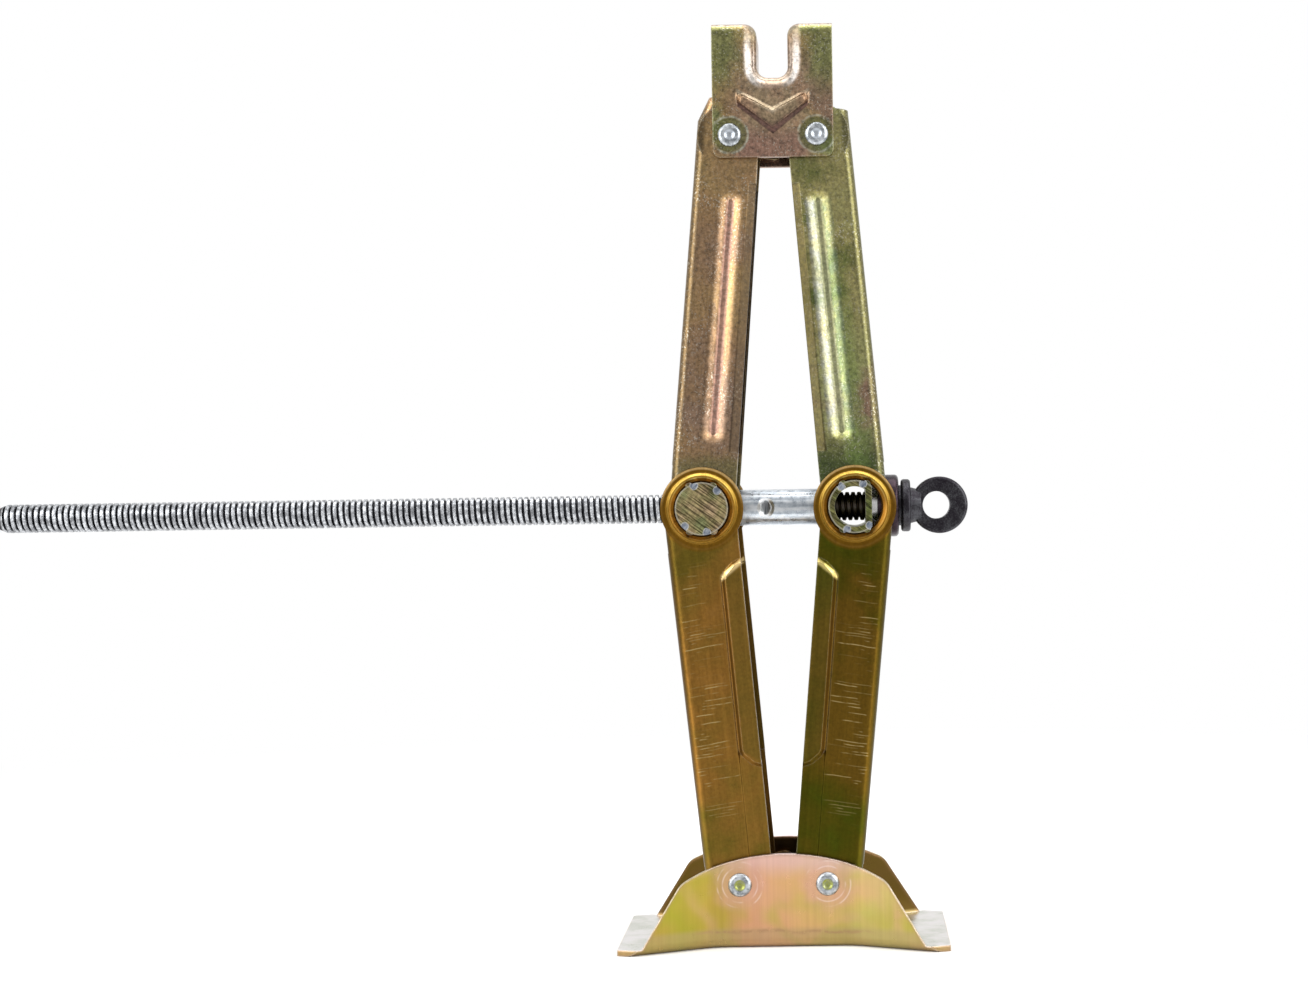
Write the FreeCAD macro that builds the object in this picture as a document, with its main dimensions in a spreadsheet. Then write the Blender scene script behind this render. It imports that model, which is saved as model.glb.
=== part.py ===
import FreeCAD, Part
import math
import os
import Sketcher

Vector = FreeCAD.Vector
Rotation = FreeCAD.Rotation
Placement = FreeCAD.Placement

SIZES = (
    # Linkage: four equal arms, equal pivot spacing in the base and in the saddle.
    ("arm_length", 155.0),
    ("pivot_spacing", 36.0),
    ("raised_angle", 85.0),
    ("base_pivot_height", 26.0),
    ("sheet", 2.5),
    ("bend_radius", 4.0),
    ("side_gap", 0.4),
    ("running_gap", 0.08),
    ("cut_reach", 60.0),
    # Rolling teeth on the pivot ends of the arms.
    ("teeth_per_turn", 8.0),
    ("tooth_phase", 84.0),
    ("tooth_backlash", 0.5),
    ("root_radius", 13.6),
    # Upper arms, which sit inside the lower arms and narrow towards the saddle.
    ("upper_wide_half", 17.5),
    ("upper_narrow_half", 12.5),
    ("upper_parallel", 24.0),
    ("upper_parallel_top", 19.0),
    ("upper_web", 14.0),
    ("upper_open_wide", 13.4),
    ("upper_open_narrow", 12.2),
    ("upper_ear_radius", 14.6),
    ("upper_web_start", 17.0),
    ("brow_start_left", 5.7),
    ("brow_end_left", 15.7),
    ("brow_fall_left", 4.0),
    ("brow_start_right", 9.1),
    ("brow_end_right", 10.3),
    ("brow_fall_right", 5.5),
    ("bead_start", 27.0),
    ("bead_top", 22.0),
    ("bead_shift", 2.2),
    ("bead_width", 9.4),
    ("bead_flat", 2.0),
    ("bead_depth", 2.0),
    ("bead_rim_round", 9.0),
    ("lip_height", 3.4),
    ("lip_depth", 1.2),
    ("slot_radius", 2.4),
    ("slot_length", 3.4),
    ("slot_inset", 30.0),
    # Lower arms.
    ("lower_web_near", 14.2),
    ("lower_web_far", 16.3),
    ("lower_open", 13.8),
    ("lower_web_start", 8.0),
    ("lower_web_end", 17.0),
    ("ear_radius", 17.1),
    ("collar_well", 11.7),
    ("collar_crest", 13.7),
    ("collar_foot", 14.8),
    ("collar_height", 1.2),
    ("ledge_width", 8.8),
    ("ledge_rise", 1.9),
    ("ledge_slope", 1.8),
    ("ledge_start", 22.0),
    ("ledge_slant", 6.0),
    ("ledge_end", 108.0),
    # Base: a waisted channel on a flat floor with a tab at each end.
    ("base_length", 135.0),
    ("base_tab_half", 34.5),
    ("base_end_half", 37.0),
    ("base_wing_end", 59.0),
    ("base_waist", 28.0),
    ("base_waist_radius", 18.0),
    ("base_shoulder", 44.0),
    ("base_shoulder_height", 24.3),
    ("base_crown_rise", 12.4),
    ("base_crown_radius", 86.0),
    ("base_shoulder_radius", 9.0),
    ("base_bend_radius", 4.0),
    # Saddle.
    ("saddle_half_length", 25.0),
    ("saddle_below", 9.3),
    ("saddle_above", 46.5),
    ("groove_half_width", 6.4),
    ("groove_depth", 22.4),
    ("groove_corner", 4.6),
    ("groove_mouth", 5.0),
    ("saddle_corner", 3.3),
    ("saddle_bend", 4.6),
    ("chevron_span", 15.0),
    ("chevron_top", 19.1),
    ("chevron_drop", 7.8),
    ("chevron_band", 6.9),
    ("chevron_middle", 10.9),
    ("chevron_end_radius", 3.0),
    ("chevron_tip_radius", 2.2),
    ("chevron_rise", 2.0),
    ("chevron_slope", 1.9),
    # Rivet pins.
    ("pin_radius", 5.5),
    ("rivet_radius", 3.8),
    ("rivet_gap", 0.05),
    ("rivet_head_radius", 4.9),
    ("rivet_head_height", 1.5),
    ("rivet_head_rim", 0.7),
    ("rivet_recess_radius", 2.3),
    ("rivet_recess_depth", 2.4),
    # Trunnions.
    ("trunnion_radius", 10.9),
    ("tube_wall", 2.6),
    ("tube_flat", 7.0),
    ("stake_radius", 1.7),
    ("stake_height", 0.7),
    ("stake_inset", 0.7),
    ("stake_angle", 62.0),
    # Lead screw, stop sleeve and crank eye, along X from the bearing trunnion.
    ("screw_radius", 6.0),
    ("screw_root_radius", 4.8),
    ("screw_pitch", 2.5),
    ("screw_crest", 0.9),
    ("screw_root_flat", 0.7),
    ("screw_reach", 359.5),
    ("screw_chamfer", 1.4),
    ("thread_stop", 5.0),
    ("shank_radius", 5.2),
    ("screw_gap", 0.25),
    ("sleeve_radius", 7.5),
    ("dimple_half_width", 2.0),
    ("dimple_half_height", 3.4),
    ("dimple_depth", 0.9),
    ("dimple_place", 5.6),
    ("eye_hub_radius", 8.5),
    ("eye_hub_length", 1.8),
    ("eye_flange_radius", 11.0),
    ("eye_flange_length", 3.9),
    ("eye_neck_half", 7.6),
    ("eye_offset", 12.2),
    ("eye_radius", 11.9),
    ("eye_hole_radius", 5.75),
    ("eye_hole_shift", 1.3),
    ("eye_shoulder", 0.8),
    ("eye_thickness", 8.0),
    ("eye_edge", 1.6),
    # Thrust bearing between the tube's flat and the crank eye.
    ("washer_radius", 12.0),
    ("washer_thickness", 2.5),
    ("race_radius", 12.2),
    ("race_thickness", 2.5),
    ("race_spacing", 3.2),
    ("ball_radius", 2.0),
    ("ball_gap", 0.05),
    ("ball_circle", 9.3),
    ("ball_count", 9.0),
    ("cage_inner", 6.8),
    ("cage_outer", 11.9),
    ("cage_thickness", 1.0),
    ("shell_radius", 13.0),
    ("shell_wall", 0.7),
    ("shell_lip", 9.4),
    ("shell_corner", 1.6),
)

doc = FreeCAD.newDocument("ScissorJack")
sheet = doc.addObject("Spreadsheet::Sheet", "Sizes")
for row, (alias, number) in enumerate(SIZES, start=1):
    sheet.set(f"A{row}", str(number))
    sheet.setAlias(f"A{row}", alias)
doc.recompute()


def value_of(term):
    return term.value if isinstance(term, Size) else float(term)


def text_of(term):
    return term.text if isinstance(term, Size) else repr(float(term))


class Size:
    """A length or angle: its value, and the expression that gives it from the sheet."""

    def __init__(self, value, text):
        self.value = value
        self.text = text

    def __add__(self, other):
        return Size(self.value + value_of(other), f"({self.text} + {text_of(other)})")

    def __radd__(self, other):
        return self + other

    def __sub__(self, other):
        return Size(self.value - value_of(other), f"({self.text} - {text_of(other)})")

    def __rsub__(self, other):
        return Size(value_of(other) - self.value, f"({text_of(other)} - {self.text})")

    def __mul__(self, other):
        return Size(self.value * value_of(other), f"({self.text} * {text_of(other)})")

    def __rmul__(self, other):
        return self * other

    def __truediv__(self, other):
        return Size(self.value / value_of(other), f"({self.text} / {text_of(other)})")

    def __rtruediv__(self, other):
        return Size(value_of(other) / self.value, f"({text_of(other)} / {self.text})")

    def __neg__(self):
        return Size(-self.value, f"(0 - {self.text})")


def size(alias):
    return Size(float(sheet.get(alias)), f"Sizes.{alias}")


def cosine(angle):
    return Size(math.cos(math.radians(angle.value)), f"cos({angle.text} * 1 deg)")


def sine(angle):
    return Size(math.sin(math.radians(angle.value)), f"sin({angle.text} * 1 deg)")


def bind(thing, name, term):
    thing.setExpression(name, text_of(term))


ALONG = {"XY": Vector(0, 0, 1), "XZ": Vector(0, 1, 0), "YZ": Vector(1, 0, 0)}
AXIS_NAME = {"XY": "z", "XZ": "y", "YZ": "x"}
FACING = {
    "XY": Rotation(),
    "XZ": Rotation(Vector(1, 0, 0), 90),
    "YZ": Rotation(Vector(1, 1, 1), 120),
}


def profile(name, plane, corners):
    """Closed outline on a plane, each corner held to its sizes."""
    sketch = doc.addObject("Sketcher::SketchObject", name)
    sketch.Placement = Placement(Vector(), FACING[plane])
    points = [Vector(value_of(a), value_of(b), 0) for a, b in corners]
    count = len(points)
    for i in range(count):
        sketch.addGeometry(Part.LineSegment(points[i], points[(i + 1) % count]), False)
    for i in range(count):
        sketch.addConstraint(Sketcher.Constraint("Coincident", i, 2, (i + 1) % count, 1))
    for i, (a, b) in enumerate(corners):
        for kind, term, axis in (("DistanceX", a, -2), ("DistanceY", b, -1)):
            if abs(value_of(term)) < 1e-9:
                sketch.addConstraint(Sketcher.Constraint("PointOnObject", i, 1, axis))
                continue
            index = sketch.addConstraint(Sketcher.Constraint(kind, -1, 1, i, 1, value_of(term)))
            if isinstance(term, Size):
                sketch.setExpression(f"Constraints[{index}]", term.text)
    return sketch


def prism(name, plane, corners, low, high):
    """Outline drawn out along the plane's axis from low to high."""
    sketch = profile(name + "_outline", plane, corners)
    bind(sketch, "Placement.Base." + AXIS_NAME[plane], low)
    solid = doc.addObject("Part::Extrusion", name)
    solid.Base = sketch
    solid.DirMode = "Custom"
    solid.Dir = ALONG[plane]
    solid.Solid = True
    bind(solid, "LengthFwd", high - low)
    return solid


def turned(name, plane, corners, axis):
    """Outline turned once round an axis through the origin."""
    solid = doc.addObject("Part::Revolution", name)
    solid.Source = profile(name + "_outline", plane, corners)
    solid.Axis = axis
    solid.Base = Vector()
    solid.Angle = 360
    solid.Solid = True
    return solid


def drum(name, x, z, radius, low, high):
    """Cylinder along Y."""
    solid = doc.addObject("Part::Cylinder", name)
    solid.Placement = Placement(Vector(), Rotation(Vector(1, 0, 0), -90))
    bind(solid, "Radius", radius)
    bind(solid, "Height", high - low)
    bind(solid, "Placement.Base.x", x)
    bind(solid, "Placement.Base.y", low)
    bind(solid, "Placement.Base.z", z)
    return solid


def rod(name, low, high, radius):
    """Cylinder along X."""
    solid = doc.addObject("Part::Cylinder", name)
    solid.Placement = Placement(Vector(), Rotation(Vector(0, 1, 0), 90))
    bind(solid, "Radius", radius)
    bind(solid, "Height", high - low)
    bind(solid, "Placement.Base.x", low)
    return solid


def frustum(name, foot, top):
    """Block with sloping sides along Y: foot and top are (y, x0, x1, z0, z1)."""
    solid = doc.addObject("Part::Wedge", name)
    names = (("Ymin", "Xmin", "Xmax", "Zmin", "Zmax"), ("Ymax", "X2min", "X2max", "Z2min", "Z2max"))
    for group, terms in zip(names, (foot, top)):
        for prop, term in zip(group, terms):
            setattr(solid, prop, value_of(term))
            bind(solid, prop, term)
    return solid


def fuse(name, *parts):
    solid = doc.addObject("Part::MultiFuse", name)
    solid.Shapes = list(parts)
    solid.Refine = True
    return solid


def cut(name, base, *tools):
    solid = doc.addObject("Part::Cut", name)
    solid.Base = base
    solid.Tool = tools[0] if len(tools) == 1 else fuse(name + "_tool", *tools)
    solid.Refine = True
    return solid


def common(name, base, tool):
    solid = doc.addObject("Part::Common", name)
    solid.Base = base
    solid.Tool = tool
    return solid


def rounded(name, base, radius, wanted):
    """Fillet of the edges whose end points all satisfy the test."""
    doc.recompute()
    solid = doc.addObject("Part::Fillet", name)
    solid.Base = base
    picked = [i for i, edge in enumerate(base.Shape.Edges, start=1) if wanted(edge)]
    solid.Edges = [(i, radius.value, radius.value) for i in picked]
    doc.recompute()
    return solid


def bevelled(name, base, width, wanted):
    """Chamfer of the edges whose end points all satisfy the test."""
    doc.recompute()
    solid = doc.addObject("Part::Chamfer", name)
    solid.Base = base
    picked = [i for i, edge in enumerate(base.Shape.Edges, start=1) if wanted(edge)]
    solid.Edges = [(i, width.value, width.value) for i in picked]
    doc.recompute()
    return solid


def near(a, b):
    return abs(a - b) < 1e-4


def every(edge, test):
    return all(test(vertex.Point) for vertex in edge.Vertexes)


def lengthways(edge):
    """Whether an edge runs more along X than across it."""
    return abs(edge.tangentAt(edge.FirstParameter).x) > 0.5


def circles(edge, radius):
    """Whether an edge is a whole or part circle of that radius."""
    if edge.Degenerated or edge.Length < 1e-6:
        return False
    a, b, c = edge.discretize(4)[:3]
    if (b - a).cross(c - b).Length < 1e-9:
        return False
    return near(Part.Circle(a, b, c).Radius, radius.value)


length = size("arm_length")
spacing = size("pivot_spacing")
pivot = spacing / 2
angle = size("raised_angle")
sheet_t = size("sheet")
bend = size("bend_radius")
side_gap = size("side_gap")
running = size("running_gap")
reach = size("cut_reach")
base_z = size("base_pivot_height")
trunnion_x = pivot + length * cosine(angle)
trunnion_z = base_z + length * sine(angle)
saddle_z = base_z + length * sine(angle) * 2

upper_wide = size("upper_wide_half")
upper_narrow = size("upper_narrow_half")
lower_half = upper_wide + side_gap + sheet_t
base_half = lower_half + side_gap + sheet_t
saddle_half = upper_narrow + side_gap + sheet_t
trunnion_hole = size("trunnion_radius") + running
pin_hole = size("pin_radius") + running
rivet_hole = size("rivet_radius") + size("rivet_gap")

pitch_angle = 360 / size("teeth_per_turn")
tooth_radius = pivot * sine(pitch_angle / 4) - size("tooth_backlash") / 2
TEETH_ON_ARM = 3


def teeth(name, centre, phase, sign, half):
    """Round-tipped rolling teeth, counted from the arm's axis towards its open side."""
    made = []
    for i in range(TEETH_ON_ARM):
        turn = phase + pitch_angle * i
        along = (cosine(turn) * sign, sine(turn) * sign)
        across = (-along[1] * tooth_radius, along[0] * tooth_radius)
        tip = (centre + along[0] * pivot, along[1] * pivot)
        corners = [
            (centre + across[0], across[1]),
            (centre - across[0], -across[1]),
            (tip[0] - across[0], tip[1] - across[1]),
            (tip[0] + across[0], tip[1] + across[1]),
        ]
        made.append(prism(f"{name}_tooth{i}", "XZ", corners, -half, half))
        made.append(drum(f"{name}_tip{i}", tip[0], tip[1], tooth_radius, -half, half))
    return made


def pose(thing, x, z, turned_about):
    """Stand an arm at its pivot, leaning at the raised angle to one side or the other."""
    lean = Rotation(Vector(0, -1, 0), angle.value)
    if turned_about:
        lean = Rotation(Vector(0, 0, 1), 180).multiply(lean)
    thing.Placement = Placement(Vector(), lean)
    bind(thing, "Placement.Base.x", x)
    bind(thing, "Placement.Base.z", z)


def lower_arm(node, phase):
    """Channel with its web on the outer side, from the base pivot to the trunnion."""
    near_depth = size("lower_web_near")
    far_depth = size("lower_web_far")
    open_side = size("lower_open")
    half = lower_half
    zero = length * 0

    def web(u):
        return near_depth + (far_depth - near_depth) * u / length

    beam = prism(
        node + "_beam", "XZ",
        [(0, -near_depth), (length, -far_depth), (length, open_side), (0, open_side)], -half, half)
    beam = rounded(
        node + "_bend", beam, bend,
        lambda edge: every(edge, lambda p: p.z < 0 and near(abs(p.y), half.value)) and lengthways(edge))
    ear = drum(node + "_ear", length, 0, size("ear_radius"), -half, half)
    head = drum(node + "_head", 0, 0, size("root_radius"), -half, half)
    rise = half + size("collar_height")
    crest = size("collar_crest")
    foot = size("collar_foot")
    fall = size("collar_height")
    low = half + fall / 8
    slope = [(size("collar_well"), low), (crest - fall / 4, rise), (crest, rise), (foot, half)]
    collar = turned(
        node + "_collar", "XY",
        [(0, -low)] + [(r, -y) for r, y in slope] + slope[::-1] + [(0, low)], Vector(0, 1, 0))
    bind(collar, "Placement.Base.x", length)
    out = half + size("ledge_rise")
    ledge_foot = open_side - size("ledge_width")
    ledge_near = length - size("ledge_end")
    ledge_far = length - size("ledge_start")
    slant = size("ledge_slant")
    ledge = prism(
        node + "_ledge", "XZ",
        [(ledge_near, open_side), (ledge_near, ledge_foot + slant), (ledge_near + slant, ledge_foot),
         (ledge_far - slant, ledge_foot), (ledge_far, ledge_foot + slant), (ledge_far, open_side)],
        -out, out)
    ledge = bevelled(
        node + "_ledge_slopes", ledge, size("ledge_slope"),
        lambda edge: every(edge, lambda p: near(abs(p.y), out.value))
        and not every(edge, lambda p: near(p.z, open_side.value)))
    blank = fuse(node + "_blank", beam, ear, head, collar, ledge, *teeth(node, zero, phase, 1, half))
    start = size("lower_web_start")
    end = length - size("lower_web_end")
    inside = half - sheet_t
    channel = prism(
        node + "_channel", "XZ",
        [(-reach, -reach), (start, -reach), (start, sheet_t - web(start)), (end, sheet_t - web(end)),
         (end, -reach), (length + reach, -reach), (length + reach, reach), (-reach, reach)],
        -inside, inside)
    step = out - sheet_t
    ledge_room = prism(
        node + "_ledge_room", "XZ",
        [(ledge_near + sheet_t, reach), (ledge_near + sheet_t, ledge_foot + slant),
         (ledge_near + slant, ledge_foot + sheet_t), (ledge_far - slant, ledge_foot + sheet_t),
         (ledge_far - sheet_t, ledge_foot + slant), (ledge_far - sheet_t, reach)],
        -step, step)
    eye = drum(node + "_trunnion_hole", length, 0, trunnion_hole, -reach, reach)
    hole = drum(node + "_pin_hole", 0, 0, pin_hole, -reach, reach)
    return cut(node, blank, channel, ledge_room, eye, hole)


def upper_plan(name, inset, low, high):
    """Plan of an upper arm: parallel at both ends, narrowing towards the saddle."""
    wide = upper_wide - inset
    narrow = upper_narrow - inset
    first = size("upper_parallel")
    last = length - size("upper_parallel_top")
    corners = [
        (-reach, -wide), (first, -wide), (last, -narrow), (length + reach, -narrow),
        (length + reach, narrow), (last, narrow), (first, wide), (-reach, wide)]
    return prism(name, "XY", corners, low, high)


def on_walls(thing_pair, place):
    """Set a tool square on each side wall of an upper arm, at a distance along the arm."""
    first = size("upper_parallel")
    run = length - first - size("upper_parallel_top")
    fall = upper_wide - upper_narrow
    taper = math.degrees(math.atan2(fall.value, run.value))
    offset = upper_wide - fall * (place - first) / run
    for tool, side in zip(thing_pair, (1, -1)):
        turn = -taper if side > 0 else 180 + taper
        tool.Placement = Placement(Vector(), Rotation(Vector(0, 0, 1), turn))
        bind(tool, "Placement.Base.x", place)
        bind(tool, "Placement.Base.y", offset * side)


def upper_arm(node, phase, hand, wrap):
    """Channel with its web on the outer side, from the trunnion to a brow past the saddle pivot.

    The left brow is bevelled with the web folded round it, and the right one is cut square."""
    web = size("upper_web")
    zero = length * 0
    brow = length + size("brow_start_" + hand)
    brow_tip = length + size("brow_end_" + hand)
    fall = size("brow_fall_" + hand)
    wide_open = size("upper_open_wide")
    narrow_open = size("upper_open_narrow")
    first = size("upper_parallel")
    side = prism(
        node + "_side", "XZ",
        [(0, -wide_open), (length, -narrow_open), (length, zero), (brow_tip, zero), (brow_tip, web - fall),
         (brow, web), (0, web)], -upper_wide, upper_wide)
    beam = common(node + "_beam", side, upper_plan(node + "_plan", sheet_t * 0, -reach, reach))
    beam = rounded(
        node + "_bend", beam, bend,
        lambda edge: every(edge, lambda p: p.z > (web - fall).value - 0.01) and lengthways(edge))
    ear = drum(node + "_ear", 0, 0, size("upper_ear_radius"), -upper_wide, upper_wide)
    head = drum(node + "_head", length, 0, size("root_radius"), -upper_narrow, upper_narrow)
    blank = fuse(
        node + "_blank", beam, ear, head, *teeth(node, length, phase, -1, upper_narrow))
    under = web - sheet_t
    hollow = prism(
        node + "_hollow", "XZ",
        [(-reach, -reach), (length + reach, -reach), (length + reach, under - fall * wrap),
         (brow_tip, under - fall * wrap), (brow, under), (-reach, under)], -upper_wide, upper_wide)
    room = common(node + "_room", hollow, upper_plan(node + "_room_plan", sheet_t, -reach, reach))
    wide_in = upper_wide - sheet_t
    start = size("upper_web_start")
    lower_end = prism(
        node + "_lower_end", "XZ",
        [(-reach, -reach), (start, -reach), (start, reach), (-reach, reach)], -wide_in, wide_in)
    eye = drum(node + "_trunnion_hole", 0, 0, trunnion_hole, -reach, reach)
    hole = drum(node + "_pin_hole", length, 0, pin_hole, -reach, reach)
    tools = [room, lower_end, eye, hole]
    inset = size("slot_inset")
    slot = size("slot_radius")
    for i, place in enumerate((inset, length - inset)):
        for j in (-1, 1):
            opening = doc.addObject("Part::Cylinder", f"{node}_slot{i}{'a' if j < 0 else 'b'}")
            bind(opening, "Radius", slot)
            bind(opening, "Height", reach)
            bind(opening, "Placement.Base.x", place)
            bind(opening, "Placement.Base.y", size("slot_length") / 2 * j)
            tools.append(opening)
    channel = cut(node + "_channel", blank, *tools)

    bead_from = size("bead_start")
    bead_to = length - size("bead_top")
    bead_half = (bead_to - bead_from) / 2
    bead_mid = (bead_to + bead_from) / 2
    broad = size("bead_width") / 2
    flat = size("bead_flat") / 2
    deep = size("bead_depth")
    slope = broad - flat
    run = bead_half - broad
    over = deep / 4
    lip_out = broad + slope * over / deep
    dents = []
    for i in (1, 2):
        trough = prism(f"{node}_trough{i}", "YZ",
                       [(-deep, -flat), (-deep, flat), (over, lip_out), (over, -lip_out)], -run, run)
        ends = [turned(f"{node}_trough_end{i}{j}", "XY",
                       [(0, -deep), (flat, -deep), (lip_out, over), (0, over)], Vector(0, 1, 0)) for j in "ab"]
        for end, place in zip(ends, (-run, run)):
            bind(end, "Placement.Base.x", place)
        dents.append(fuse(f"{node}_dent{i}", trough, *ends))
    swells = [frustum(f"{node}_swell{i}",
                      (-sheet_t - deep, slope - bead_half, bead_half - slope, -flat, flat),
                      (-sheet_t * 0.8, -bead_half, bead_half, -broad, broad)) for i in (1, 2)]
    on_walls(dents, bead_mid)
    on_walls(swells, bead_mid)
    for tool in dents + swells:
        bind(tool, "Placement.Base.z", size("bead_shift") * -1)

    lip = size("lip_depth")
    lip_high = size("lip_height")
    mid = (length + first - size("upper_parallel_top")) / 2
    mid_open = wide_open + (narrow_open - wide_open) * mid / length
    lip_half = mid - first
    spill = lip_high / 4
    trims = [prism(f"{node}_trim{i}", "YZ",
                   [(sheet_t * 0, lip_high - mid_open), (spill, lip_high - mid_open),
                    (spill, -mid_open - spill), (-lip - lip / 4, -mid_open - spill)],
                   -lip_half, lip_half) for i in (1, 2)]
    folds = [prism(f"{node}_fold{i}", "YZ",
                   [(-sheet_t, lip_high - mid_open), (-sheet_t + lip / 4, lip_high - mid_open),
                    (-sheet_t + lip / 4, -mid_open + lip / 3), (-sheet_t - lip, -mid_open + lip / 3)],
                   -lip_half, lip_half) for i in (1, 2)]
    lean = math.degrees(math.atan2((wide_open - narrow_open).value, length.value))
    on_walls(trims, mid)
    on_walls(folds, mid)
    for pair in (trims, folds):
        for tool, tilt in zip(pair, (-lean, lean)):
            spin = tool.Placement.Rotation.multiply(Rotation(Vector(0, 1, 0), tilt))
            tool.Placement = Placement(tool.Placement.Base, spin)
    swelled = fuse(node + "_swelled", channel, *swells, *folds)
    pressed = cut(node + "_pressed", swelled, *dents, *trims)

    def on_rim(edge, dent):
        spots = [dent.Placement.inverse().multVec(vertex.Point) for vertex in edge.Vertexes]
        return all(near(p.y, 0) and abs(p.x) < bead_half.value + sheet_t.value
                   and abs(p.z) < broad.value + 0.01 for p in spots)

    return rounded(node, pressed, size("bead_rim_round"), lambda edge: any(on_rim(edge, d) for d in dents))


def base_plate(node):
    """Waisted channel: floor with end tabs, two walls that flare to the ends."""
    tab = size("base_length") / 2
    tab_half = size("base_tab_half")
    end_half = size("base_end_half")
    wing = size("base_wing_end")
    waist = size("base_waist")
    edge = [(-tab, -tab_half), (-wing, -end_half), (-waist, -base_half), (waist, -base_half),
            (wing, -end_half), (tab, -tab_half)]
    floor = prism(node + "_floor_blank", "XY", edge + [(x, -y) for x, y in reversed(edge)], sheet_t * 0, sheet_t)

    def at_waist(e):
        return every(e, lambda p: near(abs(p.x), waist.value)) and near(abs(e.tangentAt(e.FirstParameter).z), 1)

    floor = rounded(node + "_floor", floor, size("base_waist_radius"), at_waist)
    crown = base_z + size("base_crown_rise")
    walls = []
    for name, side in (("front", -1), ("rear", 1)):
        outer = [(-wing, end_half * side), (-waist, base_half * side),
                 (waist, base_half * side), (wing, end_half * side)]
        inner = [(x, y - sheet_t * side) for x, y in reversed(outer)]
        wall = prism(f"{node}_{name}_blank", "XY", outer + inner, sheet_t * 0, crown + sheet_t)
        walls.append(rounded(f"{node}_{name}", wall, size("base_waist_radius"), at_waist))
    shoulder = size("base_shoulder")
    shoulder_z = size("base_shoulder_height")
    inward = shoulder - (wing - shoulder) * (crown - shoulder_z) / shoulder_z
    side = prism(
        node + "_side", "XZ",
        [(-wing, 0), (wing, 0), (shoulder, shoulder_z), (inward, crown), (-inward, crown),
         (-shoulder, shoulder_z)], -reach, reach)
    arc = drum(node + "_arc", 0, crown - size("base_crown_radius"), size("base_crown_radius"), -reach, reach)
    side = common(node + "_arch", side, arc)
    side = rounded(
        node + "_shoulders", side, size("base_shoulder_radius"),
        lambda e: near(e.Length, 2 * reach.value) and every(e, lambda p: p.z > shoulder_z.value))
    trimmed = common(node + "_walls", fuse(node + "_pair", *walls), side)
    blank = fuse(node + "_blank", floor, trimmed)
    bent = rounded(
        node + "_bend", blank, size("base_bend_radius"),
        lambda e: every(e, lambda p: near(p.z, 0) and abs(p.x) < wing.value + 0.01) and lengthways(e))
    holes = [drum(f"{node}_hole{i}", pivot * s, base_z, rivet_hole, -reach, reach)
             for i, s in ((1, -1), (2, 1))]
    return cut(node, bent, *holes)


def saddle_cap(node):
    """Cap over the upper arms, its top folded down into a groove along Y."""
    side = size("saddle_half_length")
    foot = size("saddle_below")
    top = size("saddle_above")
    gap = size("groove_half_width")
    sill = top - size("groove_depth")
    block = prism(
        node + "_block", "XZ",
        [(-side, -foot), (side, -foot), (side, top), (gap, top), (gap, sill), (-gap, sill),
         (-gap, top), (-side, top)], -saddle_half, saddle_half)

    def at(edge, x, z):
        return every(edge, lambda p: near(abs(p.x), x.value) and near(p.z, z.value)) and not lengthways(edge)

    block = rounded(node + "_corners", block, size("saddle_corner"), lambda e: at(e, side, -foot))
    block = rounded(node + "_sill", block, size("groove_corner"), lambda e: at(e, gap, sill))
    block = rounded(node + "_mouth", block, size("groove_mouth"), lambda e: at(e, gap, top))
    block = rounded(
        node + "_fold", block, size("saddle_bend"),
        lambda e: every(e, lambda p: near(abs(p.y), saddle_half.value) and p.z > sill.value - 1e-3)
        and not every(e, lambda p: near(abs(p.x), side.value)))
    span = size("chevron_span")
    crest = size("chevron_top")
    drop = size("chevron_drop")
    band = size("chevron_band")
    middle = size("chevron_middle")
    out = saddle_half + size("chevron_rise")
    mark = prism(
        node + "_mark", "XZ",
        [(-span, crest), (0, crest - drop), (span, crest), (span, crest - band),
         (0, crest - drop - middle), (-span, crest - band)], -out, out)
    mark = rounded(
        node + "_mark_ends", mark, size("chevron_end_radius"),
        lambda e: near(e.Length, 2 * out.value) and every(e, lambda p: near(abs(p.x), span.value)))
    mark = rounded(
        node + "_mark_tips", mark, size("chevron_tip_radius"),
        lambda e: near(e.Length, 2 * out.value) and every(e, lambda p: near(p.x, 0)))
    mark = bevelled(
        node + "_mark_slopes", mark, size("chevron_slope"),
        lambda e: every(e, lambda p: near(abs(p.y), out.value)))
    blank = fuse(node + "_blank", block, mark)
    room = saddle_half - sheet_t
    hollow = prism(
        node + "_hollow", "XZ",
        [(-reach, -reach), (reach, -reach), (reach, top - sheet_t), (gap + sheet_t, top - sheet_t),
         (gap + sheet_t, sill - sheet_t), (-gap - sheet_t, sill - sheet_t),
         (-gap - sheet_t, top - sheet_t), (-reach, top - sheet_t)], -room, room)
    holes = [drum(f"{node}_hole{i}", pivot * s, 0, rivet_hole, -reach, reach) for i, s in ((1, -1), (2, 1))]
    cap = cut(node, blank, hollow, *holes)
    bind(cap, "Placement.Base.z", saddle_z)
    return cap


def rivet_pin(node, wall, x, z):
    """Shouldered pin riveted over at both ends, each head with a round recess."""
    shoulder = wall - sheet_t
    end = wall + size("rivet_head_height")
    rim = size("rivet_head_rim")
    shank = size("rivet_radius")
    head = size("rivet_head_radius")
    recess = size("rivet_recess_radius")
    upper = [(size("pin_radius"), shoulder), (shank, shoulder), (shank, wall), (head, wall),
             (head, end - rim), (head - rim, end), (recess, end),
             (recess * 0.7, end - size("rivet_recess_depth"))]
    centre = end - size("rivet_recess_depth")
    lower = [(r, -y) for r, y in reversed(upper)]
    pin = turned(node, "XY", [(0, -centre)] + lower + upper + [(0, centre)], Vector(0, 1, 0))
    bind(pin, "Placement.Base.x", x)
    bind(pin, "Placement.Base.z", z)
    return pin


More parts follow.
